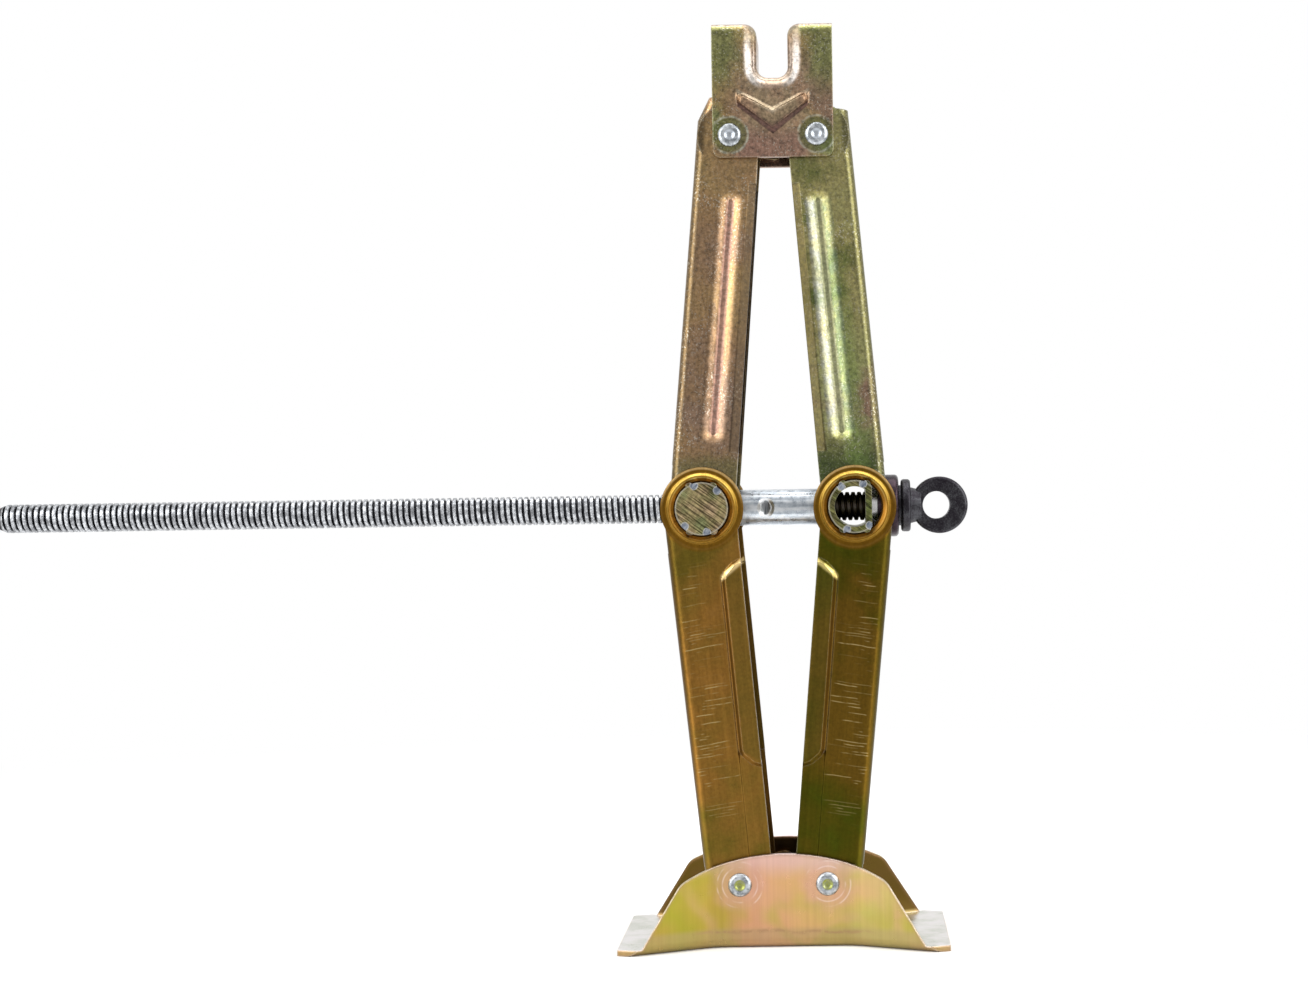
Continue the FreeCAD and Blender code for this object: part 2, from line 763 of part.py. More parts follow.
trunnion_r = size("trunnion_radius")
trunnion_half = lower_half + size("collar_height") + side_gap + size("stake_height")
screw_r = size("screw_radius")
screw_hole = screw_r + size("screw_gap")


def stakes(node):
    """Four punched lugs on each end that keep the arms on the trunnion."""
    made = []
    radius = trunnion_r - size("stake_inset")
    tilt = size("stake_angle")
    for i, turn in enumerate((tilt, 180 - tilt, 180 + tilt, 360 - tilt)):
        for j, side in (("a", -1), ("b", 1)):
            low = -trunnion_half if side < 0 else trunnion_half - size("stake_height")
            made.append(drum(f"{node}_stake{i}{j}", radius * cosine(turn), radius * sine(turn),
                             size("stake_radius"), low, low + size("stake_height")))
    return made


def nut_trunnion(node):
    """Solid cross pin that the screw draws along."""
    body = drum(node + "_body", 0, 0, trunnion_r, -trunnion_half, trunnion_half)
    blank = fuse(node + "_blank", body, *stakes(node))
    nut = cut(node, blank, rod(node + "_bore", -reach, reach, screw_hole))
    bind(nut, "Placement.Base.x", -trunnion_x)
    bind(nut, "Placement.Base.z", trunnion_z)
    return nut


def bearing_trunnion(node):
    """Cross tube with a flat towards the thrust bearing."""
    wall = size("tube_wall")
    flat = size("tube_flat")

    def half_round(name, radius, face):
        body = drum(name + "_round", 0, 0, radius, -trunnion_half, trunnion_half)
        keep = prism(name + "_keep", "XZ", [(-reach, -reach), (face, -reach), (face, reach), (-reach, reach)],
                     -trunnion_half, trunnion_half)
        return common(name, body, keep)

    shell = half_round(node + "_shell", trunnion_r, flat)
    lugs = fuse(node + "_blank", shell, *stakes(node))
    tube = cut(node, lugs, half_round(node + "_bore", trunnion_r - wall, flat - wall),
               rod(node + "_pass", -reach, reach, screw_hole))
    bind(tube, "Placement.Base.x", trunnion_x)
    bind(tube, "Placement.Base.z", trunnion_z)
    return tube


def on_screw(thing, x=None):
    """Put a piece on the screw's axis, with its X counted from the bearing trunnion."""
    bind(thing, "Placement.Base.x", trunnion_x if x is None else trunnion_x + x)
    bind(thing, "Placement.Base.z", trunnion_z)
    return thing


washer_from = size("tube_flat")
race_from = washer_from + size("washer_thickness")
race_t = size("race_thickness")
ball_plane = race_from + race_t + size("race_spacing") / 2
shaft_race_from = race_from + race_t + size("race_spacing")
bearing_end = shaft_race_from + race_t
flange_from = bearing_end + size("eye_hub_length")
flange_to = flange_from + size("eye_flange_length")
X_AXIS = Vector(1, 0, 0)


def ring(name, low, high, inner, outer):
    return turned(name, "XZ", [(low, inner), (high, inner), (high, outer), (low, outer)], X_AXIS)


def lead_screw(node):
    """Threaded rod: rings of the thread's pitch stand for the helix."""
    left = -size("screw_reach").value
    stop = size("thread_stop").value
    crest = size("screw_crest").value
    root_flat = size("screw_root_flat").value
    pitch = size("screw_pitch").value
    outer = screw_r.value
    inner = size("screw_root_radius").value
    chamfer = size("screw_chamfer").value
    flank = (pitch - crest - root_flat) / 2
    points = [(left, 0), (left, outer - chamfer), (left + chamfer, outer)]
    x = left + chamfer + crest
    while x + pitch < stop:
        points += [(x, outer), (x + flank, inner), (x + flank + root_flat, inner),
                   (x + flank * 2 + root_flat, outer)]
        x += pitch
    shank = size("shank_radius").value
    end = flange_to.value
    points += [(stop, outer), (stop, shank), (end, shank), (end, 0)]
    wire = Part.makePolygon([Vector(a, 0, b) for a, b in points + points[:1]])
    screw = doc.addObject("Part::Feature", node)
    screw.Shape = Part.Face(wire).revolve(Vector(), X_AXIS, 360)
    return on_screw(screw)


def crank_eye(node):
    """Forged eye at the driven end, pinched on to the screw's shank."""
    hub = size("eye_hub_radius")
    flange = size("eye_flange_radius")
    centre = flange_to + size("eye_offset")
    half = size("eye_thickness") / 2
    neck = size("eye_neck_half")
    collar = turned(
        node + "_collar", "XZ",
        [(bearing_end, 0), (bearing_end, hub), (flange_from, hub), (flange_from, flange),
         (flange_to, flange), (flange_to, neck), (centre, neck * 0.6), (centre, 0)], X_AXIS)
    collar = rounded(
        node + "_flange", collar, size("eye_flange_length") * 0.3,
        lambda e: circles(e, flange))
    loop = drum(node + "_loop", centre, 0, size("eye_radius"), -half, half)
    loop = rounded(
        node + "_rim", loop, size("eye_edge"),
        lambda e: circles(e, size("eye_radius")))
    blank = fuse(node + "_blank", collar, loop)
    hole_at = centre - size("eye_hole_shift")
    hole = drum(node + "_hole", hole_at, 0, size("eye_hole_radius"), -reach, reach)
    cheek = size("eye_radius") + half
    cheek_from = hole_at - size("eye_hole_radius") - size("eye_shoulder")
    trims = [prism(f"{node}_cheek{i}", "XY",
                   [(cheek_from, half * s), (centre + cheek, half * s),
                    (centre + cheek, cheek * s), (cheek_from, cheek * s)],
                   -cheek, cheek) for i, s in ((1, -1), (2, 1))]
    bore = rod(node + "_bore", bearing_end, flange_to, size("shank_radius") + size("rivet_gap"))
    return on_screw(cut(node, blank, hole, bore, *trims))


def stop_sleeve(node):
    """Tube on the screw that stops the nut at full height, dented to hold it."""
    low = trunnion_r + side_gap - trunnion_x * 2
    high = -trunnion_r - side_gap
    outer = size("sleeve_radius")
    tube = ring(node + "_tube", low, high, screw_hole, outer)
    dent = doc.addObject("Part::Ellipsoid", node + "_dent")
    bind(dent, "Radius1", size("dimple_half_height"))
    bind(dent, "Radius2", size("dimple_half_width"))
    bind(dent, "Radius3", size("dimple_depth"))
    bind(dent, "Placement.Base.x", -trunnion_x - size("dimple_place"))
    bind(dent, "Placement.Base.y", -outer)
    return on_screw(cut(node, tube, dent))


def race(node, low, high):
    """Thrust race with a ball track facing the other race."""
    blank = ring(node + "_ring", low, high, screw_hole, size("race_radius"))
    track = doc.addObject("Part::Torus", node + "_track")
    track.Placement = Placement(Vector(), Rotation(Vector(0, 1, 0), 90))
    bind(track, "Radius1", size("ball_circle"))
    bind(track, "Radius2", size("ball_radius") + size("ball_gap"))
    bind(track, "Placement.Base.x", ball_plane)
    return on_screw(cut(node, blank, track))


def ball_places():
    """Where the balls sit, evenly set round the screw."""
    count = int(round(size("ball_count").value))
    turns = [360 / size("ball_count") * i for i in range(count)]
    return [(size("ball_circle") * cosine(turn), size("ball_circle") * sine(turn)) for turn in turns]


def thrust_balls(node):
    """The balls of the thrust bearing, one solid each."""
    balls = []
    for i, (y, z) in enumerate(ball_places()):
        ball = doc.addObject("Part::Sphere", f"{node}_ball{i}")
        bind(ball, "Radius", size("ball_radius"))
        bind(ball, "Placement.Base.x", ball_plane)
        bind(ball, "Placement.Base.y", y)
        bind(ball, "Placement.Base.z", z)
        balls.append(ball)
    group = doc.addObject("Part::Compound", node)
    group.Links = balls
    return on_screw(group)


def ball_cage(node):
    """Flat ring with a round pocket for each ball."""
    half = size("cage_thickness") / 2
    blank = ring(node + "_ring", ball_plane - half, ball_plane + half, size("cage_inner"), size("cage_outer"))
    pockets = []
    for i, (y, z) in enumerate(ball_places()):
        pocket = rod(f"{node}_pocket{i}", ball_plane - half * 2, ball_plane + half * 2,
                     size("ball_radius") + size("ball_gap") * 2)
        bind(pocket, "Placement.Base.y", y)
        bind(pocket, "Placement.Base.z", z)
        pockets.append(pocket)
    return on_screw(cut(node, blank, *pockets))


def bearing_shell(node):
    """Pressed cup that holds the two races together."""
    outer = size("shell_radius")
    wall = size("shell_wall")
    end = bearing_end + wall
    cup = turned(
        node + "_cup", "XZ",
        [(race_from, outer - wall), (bearing_end, outer - wall), (bearing_end, size("shell_lip")),
         (end, size("shell_lip")), (end, outer), (race_from, outer)], X_AXIS)
    return on_screw(rounded(
        node, cup, size("shell_corner"),
        lambda e: circles(e, outer) and e.Vertexes[0].Point.x > bearing_end.value))


phase = size("tooth_phase")
other_phase = phase + pitch_angle / 2

nodes = {}
nodes["base"] = base_plate("base")
for name, turn, side in (("left", phase, -1), ("right", other_phase, 1)):
    arm = lower_arm("lower_arm_" + name, turn)
    pose(arm, pivot * side, base_z, side < 0)
    nodes["lower_arm_" + name] = arm
    arm = upper_arm("upper_arm_" + name, turn, name, 1 if side < 0 else 0)
    pose(arm, trunnion_x * side, trunnion_z, side > 0)
    nodes["upper_arm_" + name] = arm
    nodes["base_pin_" + name] = rivet_pin("base_pin_" + name, base_half, pivot * side, base_z)
    nodes["saddle_pin_" + name] = rivet_pin("saddle_pin_" + name, saddle_half, pivot * side, saddle_z)
nodes["saddle"] = saddle_cap("saddle")
nodes["nut_trunnion"] = nut_trunnion("nut_trunnion")
nodes["bearing_trunnion"] = bearing_trunnion("bearing_trunnion")
nodes["lead_screw"] = lead_screw("lead_screw")
nodes["crank_eye"] = crank_eye("crank_eye")
nodes["stop_sleeve"] = stop_sleeve("stop_sleeve")
nodes["thrust_washer"] = on_screw(
    ring("thrust_washer", washer_from, race_from, screw_hole, size("washer_radius")))
nodes["housing_race"] = race("housing_race", race_from, race_from + race_t)
nodes["shaft_race"] = race("shaft_race", shaft_race_from, bearing_end)
nodes["thrust_balls"] = thrust_balls("thrust_balls")
nodes["ball_cage"] = ball_cage("ball_cage")
nodes["bearing_shell"] = bearing_shell("bearing_shell")
doc.recompute()

os.makedirs("parts", exist_ok=True)
for thing in doc.Objects:
    if "Invalid" in thing.State or "Error" in thing.State:
        raise RuntimeError(f"{thing.Label} did not rebuild: {thing.State}")
for name, thing in nodes.items():
    thing.Label = name
    shape = thing.Shape
    if shape.isNull() or not shape.isValid() or not shape.Solids:
        raise RuntimeError(f"{name} is not a sound solid")
    shape.exportStep(os.path.join("parts", name + ".step"))
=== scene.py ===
import math

import bmesh
import bpy
from mathutils import Matrix, Vector


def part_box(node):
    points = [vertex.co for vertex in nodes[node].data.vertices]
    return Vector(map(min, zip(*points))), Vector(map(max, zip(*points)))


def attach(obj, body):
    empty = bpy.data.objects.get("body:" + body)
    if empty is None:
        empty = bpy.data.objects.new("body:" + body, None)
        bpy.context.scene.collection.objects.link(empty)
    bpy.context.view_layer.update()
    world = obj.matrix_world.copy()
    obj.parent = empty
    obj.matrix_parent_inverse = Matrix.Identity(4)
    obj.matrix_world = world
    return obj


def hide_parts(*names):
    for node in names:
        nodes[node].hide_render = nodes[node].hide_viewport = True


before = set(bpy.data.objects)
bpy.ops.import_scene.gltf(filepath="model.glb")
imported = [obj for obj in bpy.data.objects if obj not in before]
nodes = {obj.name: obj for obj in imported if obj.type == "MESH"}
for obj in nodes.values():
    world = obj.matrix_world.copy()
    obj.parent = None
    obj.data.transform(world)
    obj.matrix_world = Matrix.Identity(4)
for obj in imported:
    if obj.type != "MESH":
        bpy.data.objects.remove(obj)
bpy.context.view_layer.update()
scene = bpy.context.scene
scene.view_settings.view_transform = "Standard"

MM = 0.001
PER_MM = 1000.0


def middle(node):
    """Centre of a node's box at rest."""
    low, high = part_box(node)
    return (low + high) / 2


SCREW_Z = middle("nut_trunnion").z
NUT_X = middle("nut_trunnion").x
BLOCK_X = -NUT_X
BASE_PINS = [middle("base_pin_left"), middle("base_pin_right")]
SADDLE_PINS = [middle("saddle_pin_left"), middle("saddle_pin_right")]
SADDLE_Z = SADDLE_PINS[0].z
ARM_LEAN = math.degrees(math.atan2(SADDLE_PINS[0].x - NUT_X, SADDLE_Z - SCREW_Z))

# Sockets of the colour mix, by their order
MIX_SHARE = 0
MIX_UNDER = 6
MIX_OVER = 7
MIX_COLOUR = 2

# How far a rounded edge's normal agrees with its face, where wear starts and where it is full
EDGE_SAMPLES = 6
EDGE_UNWORN = 0.985
EDGE_WORN = 0.80

# Painted shade: how square to y a face is, where its colour starts to darken and where it is darkest
PAINTED_SHADE_FROM = 0.88
PAINTED_SHADE_TO = 0.987

FILM_ROUGHNESS = 0.22
FILM_IOR = 2.0


def add_node(tree, kind, settings=None, inputs=None):
    """A shader node with its settings, and with its inputs set to values or joined to sockets."""
    made = tree.nodes.new(kind)
    for key, value in (settings or {}).items():
        setattr(made, key, value)
    for key, value in (inputs or {}).items():
        if isinstance(value, bpy.types.NodeSocket):
            tree.links.new(value, made.inputs[key])
        else:
            made.inputs[key].default_value = value
    return made


def opaque(colour):
    """A written colour with its alpha, or a socket as it is."""
    return colour if isinstance(colour, bpy.types.NodeSocket) else (*colour, 1)


class Finish:
    """A node material, written as a list of calls that each return an output socket."""

    def __init__(self, name):
        self.material = bpy.data.materials.new(name)
        self.material.use_nodes = True
        self.tree = self.material.node_tree
        self.tree.nodes.clear()
        coordinates = self.node("ShaderNodeTexCoord").outputs
        self.place = coordinates["Object"]
        self.facing = coordinates["Normal"]

    def node(self, kind, settings=None, inputs=None):
        return add_node(self.tree, kind, settings, inputs)

    def moved(self, location=(0, 0, 0), turn=(0, 0, 0), scale=(1, 1, 1), source=None):
        """Coordinates scaled, then turned by degrees, then shifted."""
        mapping = self.node("ShaderNodeMapping", {"vector_type": "POINT"}, {
            "Vector": source or self.place, "Location": location,
            "Rotation": [math.radians(a) for a in turn], "Scale": scale})
        return mapping.outputs["Vector"]

    def noise(self, scale, detail=3.0, rough=0.55, source=None, warp=0.0):
        made = self.node("ShaderNodeTexNoise", None, {
            "Vector": source or self.place, "Scale": scale, "Detail": detail,
            "Roughness": rough, "Distortion": warp})
        return made.outputs["Fac"]

    def sums(self, operation, a, b=0.0):
        return self.node("ShaderNodeMath", {"operation": operation}, {0: a, 1: b}).outputs[0]

    def chain(self, operation, values):
        """One value from many, taken two at a time."""
        total = values[0]
        for value in values[1:]:
            total = self.sums(operation, total, value)
        return total

    def times(self, *factors):
        return self.chain("MULTIPLY", factors)

    def plus(self, *terms):
        return self.chain("ADD", terms)

    def most(self, *values):
        return self.chain("MAXIMUM", values)

    def least(self, *values):
        return self.chain("MINIMUM", values)

    def less(self, a, b):
        return self.sums("SUBTRACT", a, b)

    def rest(self, share):
        """What a share leaves of one."""
        return self.less(1.0, share)

    def size(self, value):
        """A value without its sign."""
        return self.sums("ABSOLUTE", value)

    def mixed(self, a, b, share):
        """Two values in one, of which b takes a share."""
        return self.plus(self.times(a, 1.0 - share), self.times(b, share))

    def swing(self, value, reach):
        """Noise made to swing about zero."""
        return self.times(self.less(value, 0.5), reach)

    def span(self, value, low, high, to_low=0.0, to_high=1.0, smooth=True):
        """A value's place between two limits, on another scale and kept within it."""
        course = "SMOOTHSTEP" if smooth else "LINEAR"
        made = self.node("ShaderNodeMapRange", {"interpolation_type": course}, {
            "Value": value, "From Min": low, "From Max": high, "To Min": to_low, "To Max": to_high})
        return made.outputs["Result"]

    def near(self, value, place, width):
        """One at a place, falling to nothing a width away from it."""
        return self.span(self.size(self.less(value, place)), width, 0.0)

    def between(self, value, low, high, fade):
        """One between two limits, fading across each."""
        above = self.span(value, low - fade, low + fade)
        below = self.span(value, high + fade, high - fade)
        return self.times(above, below)

    def hues(self, value, stops):
        """Colour ramp from (place, colour) stops."""
        ramp = self.node("ShaderNodeValToRGB", None, {"Fac": value})
        bar = ramp.color_ramp
        while len(bar.elements) < len(stops):
            bar.elements.new(0.5)
        for element, (place, colour) in zip(bar.elements, stops):
            element.position = place
            element.color = opaque(colour)
        return ramp.outputs["Color"]

    def blend(self, share, under, over, mode="MIX"):
        """One colour with a share of another over it."""
        made = self.node("ShaderNodeMix", {"data_type": "RGBA", "blend_type": mode}, {
            MIX_SHARE: share, MIX_UNDER: opaque(under), MIX_OVER: opaque(over)})
        return made.outputs[MIX_COLOUR]

    def shade(self, colour, value):
        """Colour made lighter or darker by a factor."""
        grey = self.node("ShaderNodeCombineColor", None, {0: value, 1: value, 2: value}).outputs[0]
        return self.blend(1.0, colour, grey, "MULTIPLY")

    def axes(self, source=None):
        return self.node("ShaderNodeSeparateXYZ", None, {0: source or self.place}).outputs

    def vectors(self, operation, a, b=None):
        inputs = {0: a} if b is None else {0: a, 1: b}
        return self.node("ShaderNodeVectorMath", {"operation": operation}, inputs).outputs

    def around(self, point, flat=(1, 0, 1)):
        """Distance from an axis through a point, along the direction that flat leaves out."""
        offset = self.vectors("SUBTRACT", self.place, point)[0]
        spread = self.vectors("MULTIPLY", offset, flat)[0]
        return self.vectors("LENGTH", spread)["Value"]

    def edges(self, radius):
        """Share of wear on edges, where a rounded normal leaves the face's own, and that rounded normal."""
        soft = self.node("ShaderNodeBevel", {"samples": EDGE_SAMPLES}, {"Radius": radius}).outputs[0]
        plain = self.node("ShaderNodeNewGeometry").outputs["Normal"]
        along = self.vectors("DOT_PRODUCT", soft, plain)["Value"]
        return self.span(along, EDGE_UNWORN, EDGE_WORN), soft

    def bump(self, height, strength, distance, normal=None):
        inputs = {"Height": height, "Strength": strength, "Distance": distance}
        if normal is not None:
            inputs["Normal"] = normal
        return self.node("ShaderNodeBump", None, inputs).outputs[0]

    def metal(self, colour, roughness, normal, film=0.0, flat=1.0):
        """Metal, with a clear film where the plating is glossy, and painted shade that darkens faces square
        to y.
        """
        if flat < 1.0:
            square = self.size(self.axes(self.facing)[1])
            colour = self.shade(colour, self.span(square, PAINTED_SHADE_FROM, PAINTED_SHADE_TO, 1.0, flat))
        inputs = {"Base Color": colour, "Roughness": roughness, "Metallic": 1.0, "Normal": normal}
        if film:
            inputs.update({"Coat Weight": film, "Coat Roughness": FILM_ROUGHNESS, "Coat IOR": FILM_IOR,
                           "Coat Normal": normal})
        shader = self.node("ShaderNodeBsdfPrincipled", None, inputs)
        self.node("ShaderNodeOutputMaterial", None, {"Surface": shader.outputs[0]})
        return self.material


# Pressed and plated sheet
SHEET_EDGE = 0.9 * MM
SHEET_GRAIN_DEPTH = 0.14 * MM
ROLLED_SCALE = (620, 620, 14)
FLECK = (0.88, 0.84, 0.70)
WORN_ZINC = (0.86, 0.80, 0.62)
RUBBED_ZINC = (0.62, 0.47, 0.20)


def plated_sheet(name, stops, seed, grain, flat, relief, spared, tints, lean=0.0, cloud=17.0, streak=0.5,
                 sparkle=0.0, edge_wear=0.5, film=0.0, rub=None):
    """Yellow-passivated zinc on pressed sheet: drifting hues, rolling lines, bright flecks and worn edges.

    Each tint gives a share and a shade, relief gives a height in millimetres, rub gives the share of
    rub marks, and spared gives the share of flecks and wear that stays.
    """
    f = Finish(name)
    drift = f.moved((seed, seed * 0.7, seed * 1.3))
    broad = f.noise(cloud, 2.0, 0.5, drift, 0.6)
    small = f.noise(cloud * 6, 4.0, 0.6, drift)
    colour = f.hues(f.span(f.mixed(broad, small, 0.25), 0.36, 0.64, smooth=False), stops)
    sheet = f.moved(turn=(0, lean, 0))
    for tint in tints:
        share, shade = tint(f, sheet, small)
        colour = f.blend(share, colour, shade)
    rolled = f.noise(1.0, 5.0, 0.7, f.moved(scale=ROLLED_SCALE, source=sheet))
    speck = f.noise(750, 3.0, 0.65, drift)
    colour = f.shade(colour, f.plus(f.swing(rolled, streak), f.swing(speck, grain), 1.0))
    flecks = f.noise(1300, 1.0, 0.5, drift)
    bare = spared(f, sheet)
    if sparkle:
        patches = f.span(f.noise(cloud * 3, 3.0, 0.6, drift), 0.42, 0.62, 0.25, 1.0)
        colour = f.blend(f.times(f.span(flecks, 0.56, 0.70), patches, bare, sparkle), colour, FLECK)
    roughness = f.span(f.mixed(small, speck, 0.4), 0.3, 0.7, 0.27, 0.43)
    worn, normal = f.edges(SHEET_EDGE)
    chips = f.span(f.noise(420, 3.0, 0.6, drift), 0.30, 0.62, 0.25, 0.95)
    colour = f.blend(f.times(worn, chips, bare, edge_wear), colour, WORN_ZINC)
    height = f.plus(f.times(speck, 0.4), f.times(rolled, 0.3), f.times(flecks, 0.3))
    if rub:
        scratch = rub(f, sheet)
        colour = f.blend(f.times(scratch, 0.8), colour, RUBBED_ZINC)
        height = f.less(height, f.times(scratch, 0.3))
        roughness = f.plus(roughness, f.times(scratch, 0.10))
    normal = f.bump(relief(f, sheet), 1.0, MM, normal)
    normal = f.bump(height, 0.25, SHEET_GRAIN_DEPTH, normal)
    return f.metal(colour, roughness, normal, film, flat)


# Radii of the lower arms' ears, from the skirt in to the bore
EAR_SKIRT = 18.5 * MM
EAR_RIM = 16.6 * MM
EAR_ROLL = 14.1 * MM
EAR_MOUTH = 13.5 * MM
EAR_LINE = 12.9 * MM
EAR_BORE = 11.8 * MM
EAR_LIT = 12.0 * MM


def trunnion_ear(x):
    """Share of a lower arm that is off its ear, and the ear's tints: orange, with painted highlights on its
    rims, stronger towards the top, and painted shade in its bore.
    """
    centre = (x, 0, SCREW_Z)

    def rim_highlight(radius, width, shade, low, high):
        def tint(f, sheet, small):
            rise = f.span(f.less(f.axes()[2], SCREW_Z), 0.0, EAR_LIT, low, high)
            return f.times(f.near(f.around(centre), radius, width), rise), shade
        return tint

    def disc(radius, fade, shade, strength):
        def tint(f, sheet, small):
            return f.times(f.span(f.around(centre), radius, radius - fade), strength), shade
        return tint

    def away(f, sheet):
        return f.span(f.around(centre), EAR_SKIRT - 1.3 * MM, EAR_SKIRT)

    return away, [
        disc(EAR_SKIRT, 2.0 * MM, (0.21, 0.098, 0.009), 0.9),
        rim_highlight(EAR_RIM, 0.8 * MM, (0.85, 0.56, 0.22), 0.05, 0.85),
        rim_highlight(EAR_ROLL, 1.0 * MM, (0.92, 0.62, 0.13), 0.15, 0.95),
        disc(EAR_MOUTH, 0.4 * MM, (0.22, 0.095, 0.014), 0.8),
        rim_highlight(EAR_LINE, 0.4 * MM, (0.50, 0.38, 0.12), 0.2, 0.8),
        # Painted shade: the bore's wall nearly black
        disc(EAR_BORE, 0.3 * MM, (0.05, 0.022, 0.006), 0.95)]


def low_band(height, reach, shade, strength):
    """Another hue below a height, with a ragged upper limit."""
    def tint(f, sheet, small):
        ragged = f.plus(f.axes()[2], f.swing(small, reach * 1.6))
        return f.times(f.span(ragged, height + reach, height - reach), strength), shade
    return tint


def painted_bend_shade(limit, reach, shade):
    """Painted shade to one side of a line along the arm, over its outer bend: below the line, or above it for
    a negative reach.
    """
    def tint(f, sheet, small):
        return f.times(f.span(f.axes(sheet)[0], limit + reach, limit - reach), 0.85), shade
    return tint


# The upper arms' beads and lips, by their place along the arm from its trunnion
LIP_FROM = 24.0 * MM
LIP_TO = 136.0 * MM
LIP_FADE = 0.5 * MM
BEAD_FROM = 31.0 * MM
BEAD_TO = 129.0 * MM
BEAD_FADE = 2.0 * MM

# The bead's section in millimetres
BEAD_FLAT = 1.0
BEAD_HALF = 4.7
BEAD_SLOPE = 2.0 / (BEAD_HALF - BEAD_FLAT)
BEAD_ROUND = 3.0


def bead_run(f, sheet, foot):
    """One along the straight part of an upper arm's bead."""
    return f.between(f.less(f.axes(sheet)[2], foot), BEAD_FROM, BEAD_TO, BEAD_FADE)


def bead_bottom(centre, foot):
    """Rounded bottom of an upper arm's bead, in millimetres over its plain trough."""
    def relief(f, sheet):
        off = f.times(f.size(f.less(f.axes(sheet)[0], centre)), PER_MM)
        fill = f.most(f.less(BEAD_ROUND, off), 0.0)
        fill = f.times(fill, fill, BEAD_SLOPE / (2 * BEAD_ROUND))
        flat = f.times(f.most(f.less(BEAD_FLAT, off), 0.0), BEAD_SLOPE)
        return f.times(f.less(fill, flat), bead_run(f, sheet, foot))
    return relief


def bead_floor(centre, foot, shade, strength):
    """Painted light along the bottom of a bead, where its slopes light each other."""
    def tint(f, sheet, small):
        off = f.size(f.less(f.axes(sheet)[0], centre))
        return f.times(f.span(off, 2.2 * MM, 1.2 * MM), bead_run(f, sheet, foot), strength), shade
    return tint


def painted_slope_shading(centre, foot, hand, shade, strength):
    """Painted light and shade on one slope of a bead, with ragged gaps."""
    def tint(f, sheet, small):
        off = f.times(f.less(f.axes(sheet)[0], centre), hand)
        slope = f.times(f.span(off, 1.0 * MM, 2.0 * MM), f.span(off, 6.2 * MM, 5.0 * MM))
        ragged = f.span(f.noise(240, 3.0, 0.6), 0.38, 0.58, 1.0, 0.45)
        return f.times(slope, ragged, bead_run(f, sheet, foot), strength), shade
    return tint


def lip_place(f, sheet, limit, foot, hand):
    """One on the lip along an upper arm's inner edge."""
    past = f.times(f.less(f.axes(sheet)[0], limit), hand)
    run = f.between(f.less(f.axes(sheet)[2], foot), LIP_FROM, LIP_TO, LIP_FADE)
    return f.times(f.span(past, -0.6 * MM, 0.6 * MM), run)


def off_lip(limit, foot, hand):
    """One away from an upper arm's lip, little on it."""
    def share(f, sheet):
        return f.span(lip_place(f, sheet, limit, foot, hand), 0.0, 1.0, 1.0, 0.2)
    return share


def lip_hue(limit, foot, hand, shade):
    """Duller hue on an upper arm's lip."""
    def tint(f, sheet, small):
        return f.times(lip_place(f, sheet, limit, foot, hand), 0.85), shade
    return tint


# The lower arms' raised strips, in millimetres from the arm's axis and from its trunnion
LEDGE_SIDE = 5.0
LEDGE_WIDTH = 8.8
LEDGE_FROM = 22.0
LEDGE_TO = 108.0
LEDGE_SLANT = 0.68
LEDGE_SQUARE = 0.83


def ledge_place(f, sheet, axis, foot, hand):
    """Distances in millimetres inwards from the side and the slanting ends of a lower arm's raised strip."""
    across, _, along = f.axes(sheet)
    inward = f.less(f.times(f.less(across, axis), hand * PER_MM), LEDGE_SIDE)
    down = f.times(f.less(foot, along), PER_MM)
    slant = f.times(f.less(LEDGE_WIDTH, inward), LEDGE_SLANT)
    upper = f.times(f.less(f.less(down, slant), LEDGE_FROM), LEDGE_SQUARE)
    lower = f.times(f.less(f.less(LEDGE_TO, slant), down), LEDGE_SQUARE)
    return inward, upper, lower


def ledge_slope(axis, foot, hand):
    """Gentler upper end of a lower arm's raised strip, in millimetres, so that it shows the light."""
    def relief(f, sheet):
        inward, upper, _ = ledge_place(f, sheet, axis, foot, hand)
        return f.times(f.span(upper, -0.2, 2.0, 0.0, -0.75, smooth=False), f.span(inward, -0.6, 0.4))
    return relief


def ledge_tints(axis, foot, hand, end_highlight):
    """Hues of a lower arm's raised strip: painted shade on its top and its side, a painted highlight on its
    upper end, and a thin rubbed line.
    """
    def top(f, sheet, small):
        inside = f.least(*ledge_place(f, sheet, axis, foot, hand))
        return f.times(f.span(inside, 1.4, 2.6), 0.45), (0.15, 0.115, 0.020)

    def side(f, sheet, small):
        inward, upper, lower = ledge_place(f, sheet, axis, foot, hand)
        run = f.times(f.span(upper, 0.6, 1.6), f.span(lower, -0.4, 0.4))
        return f.times(f.near(inward, 0.9, 1.3), run, 0.9), (0.075, 0.034, 0.004)

    def end(f, sheet, small):
        inward, upper, _ = ledge_place(f, sheet, axis, foot, hand)
        return f.times(f.near(upper, 1.1, 1.7), f.span(inward, -0.8, 0.6), 0.85), end_highlight

    def line(f, sheet, small):
        inward, upper, lower = ledge_place(f, sheet, axis, foot, hand)
        run = f.times(f.span(upper, 0.0, 0.8), f.span(lower, 0.0, 0.8), f.span(small, 0.35, 0.55, 0.3, 1.0))
        return f.times(f.near(inward, -0.5, 0.5), run, 0.25), (0.50, 0.34, 0.12)

    return [top, side, end, line]


# Rub marks of the lower arms: one chance of a mark in each step of height
RUB_STEP = 0.0012
RUB_WIDTH = 0.36 * MM
RUB_SLANT = 4.0
RUB_LOW = (50 * MM, 66 * MM)
RUB_HIGH = (163 * MM, 156 * MM)


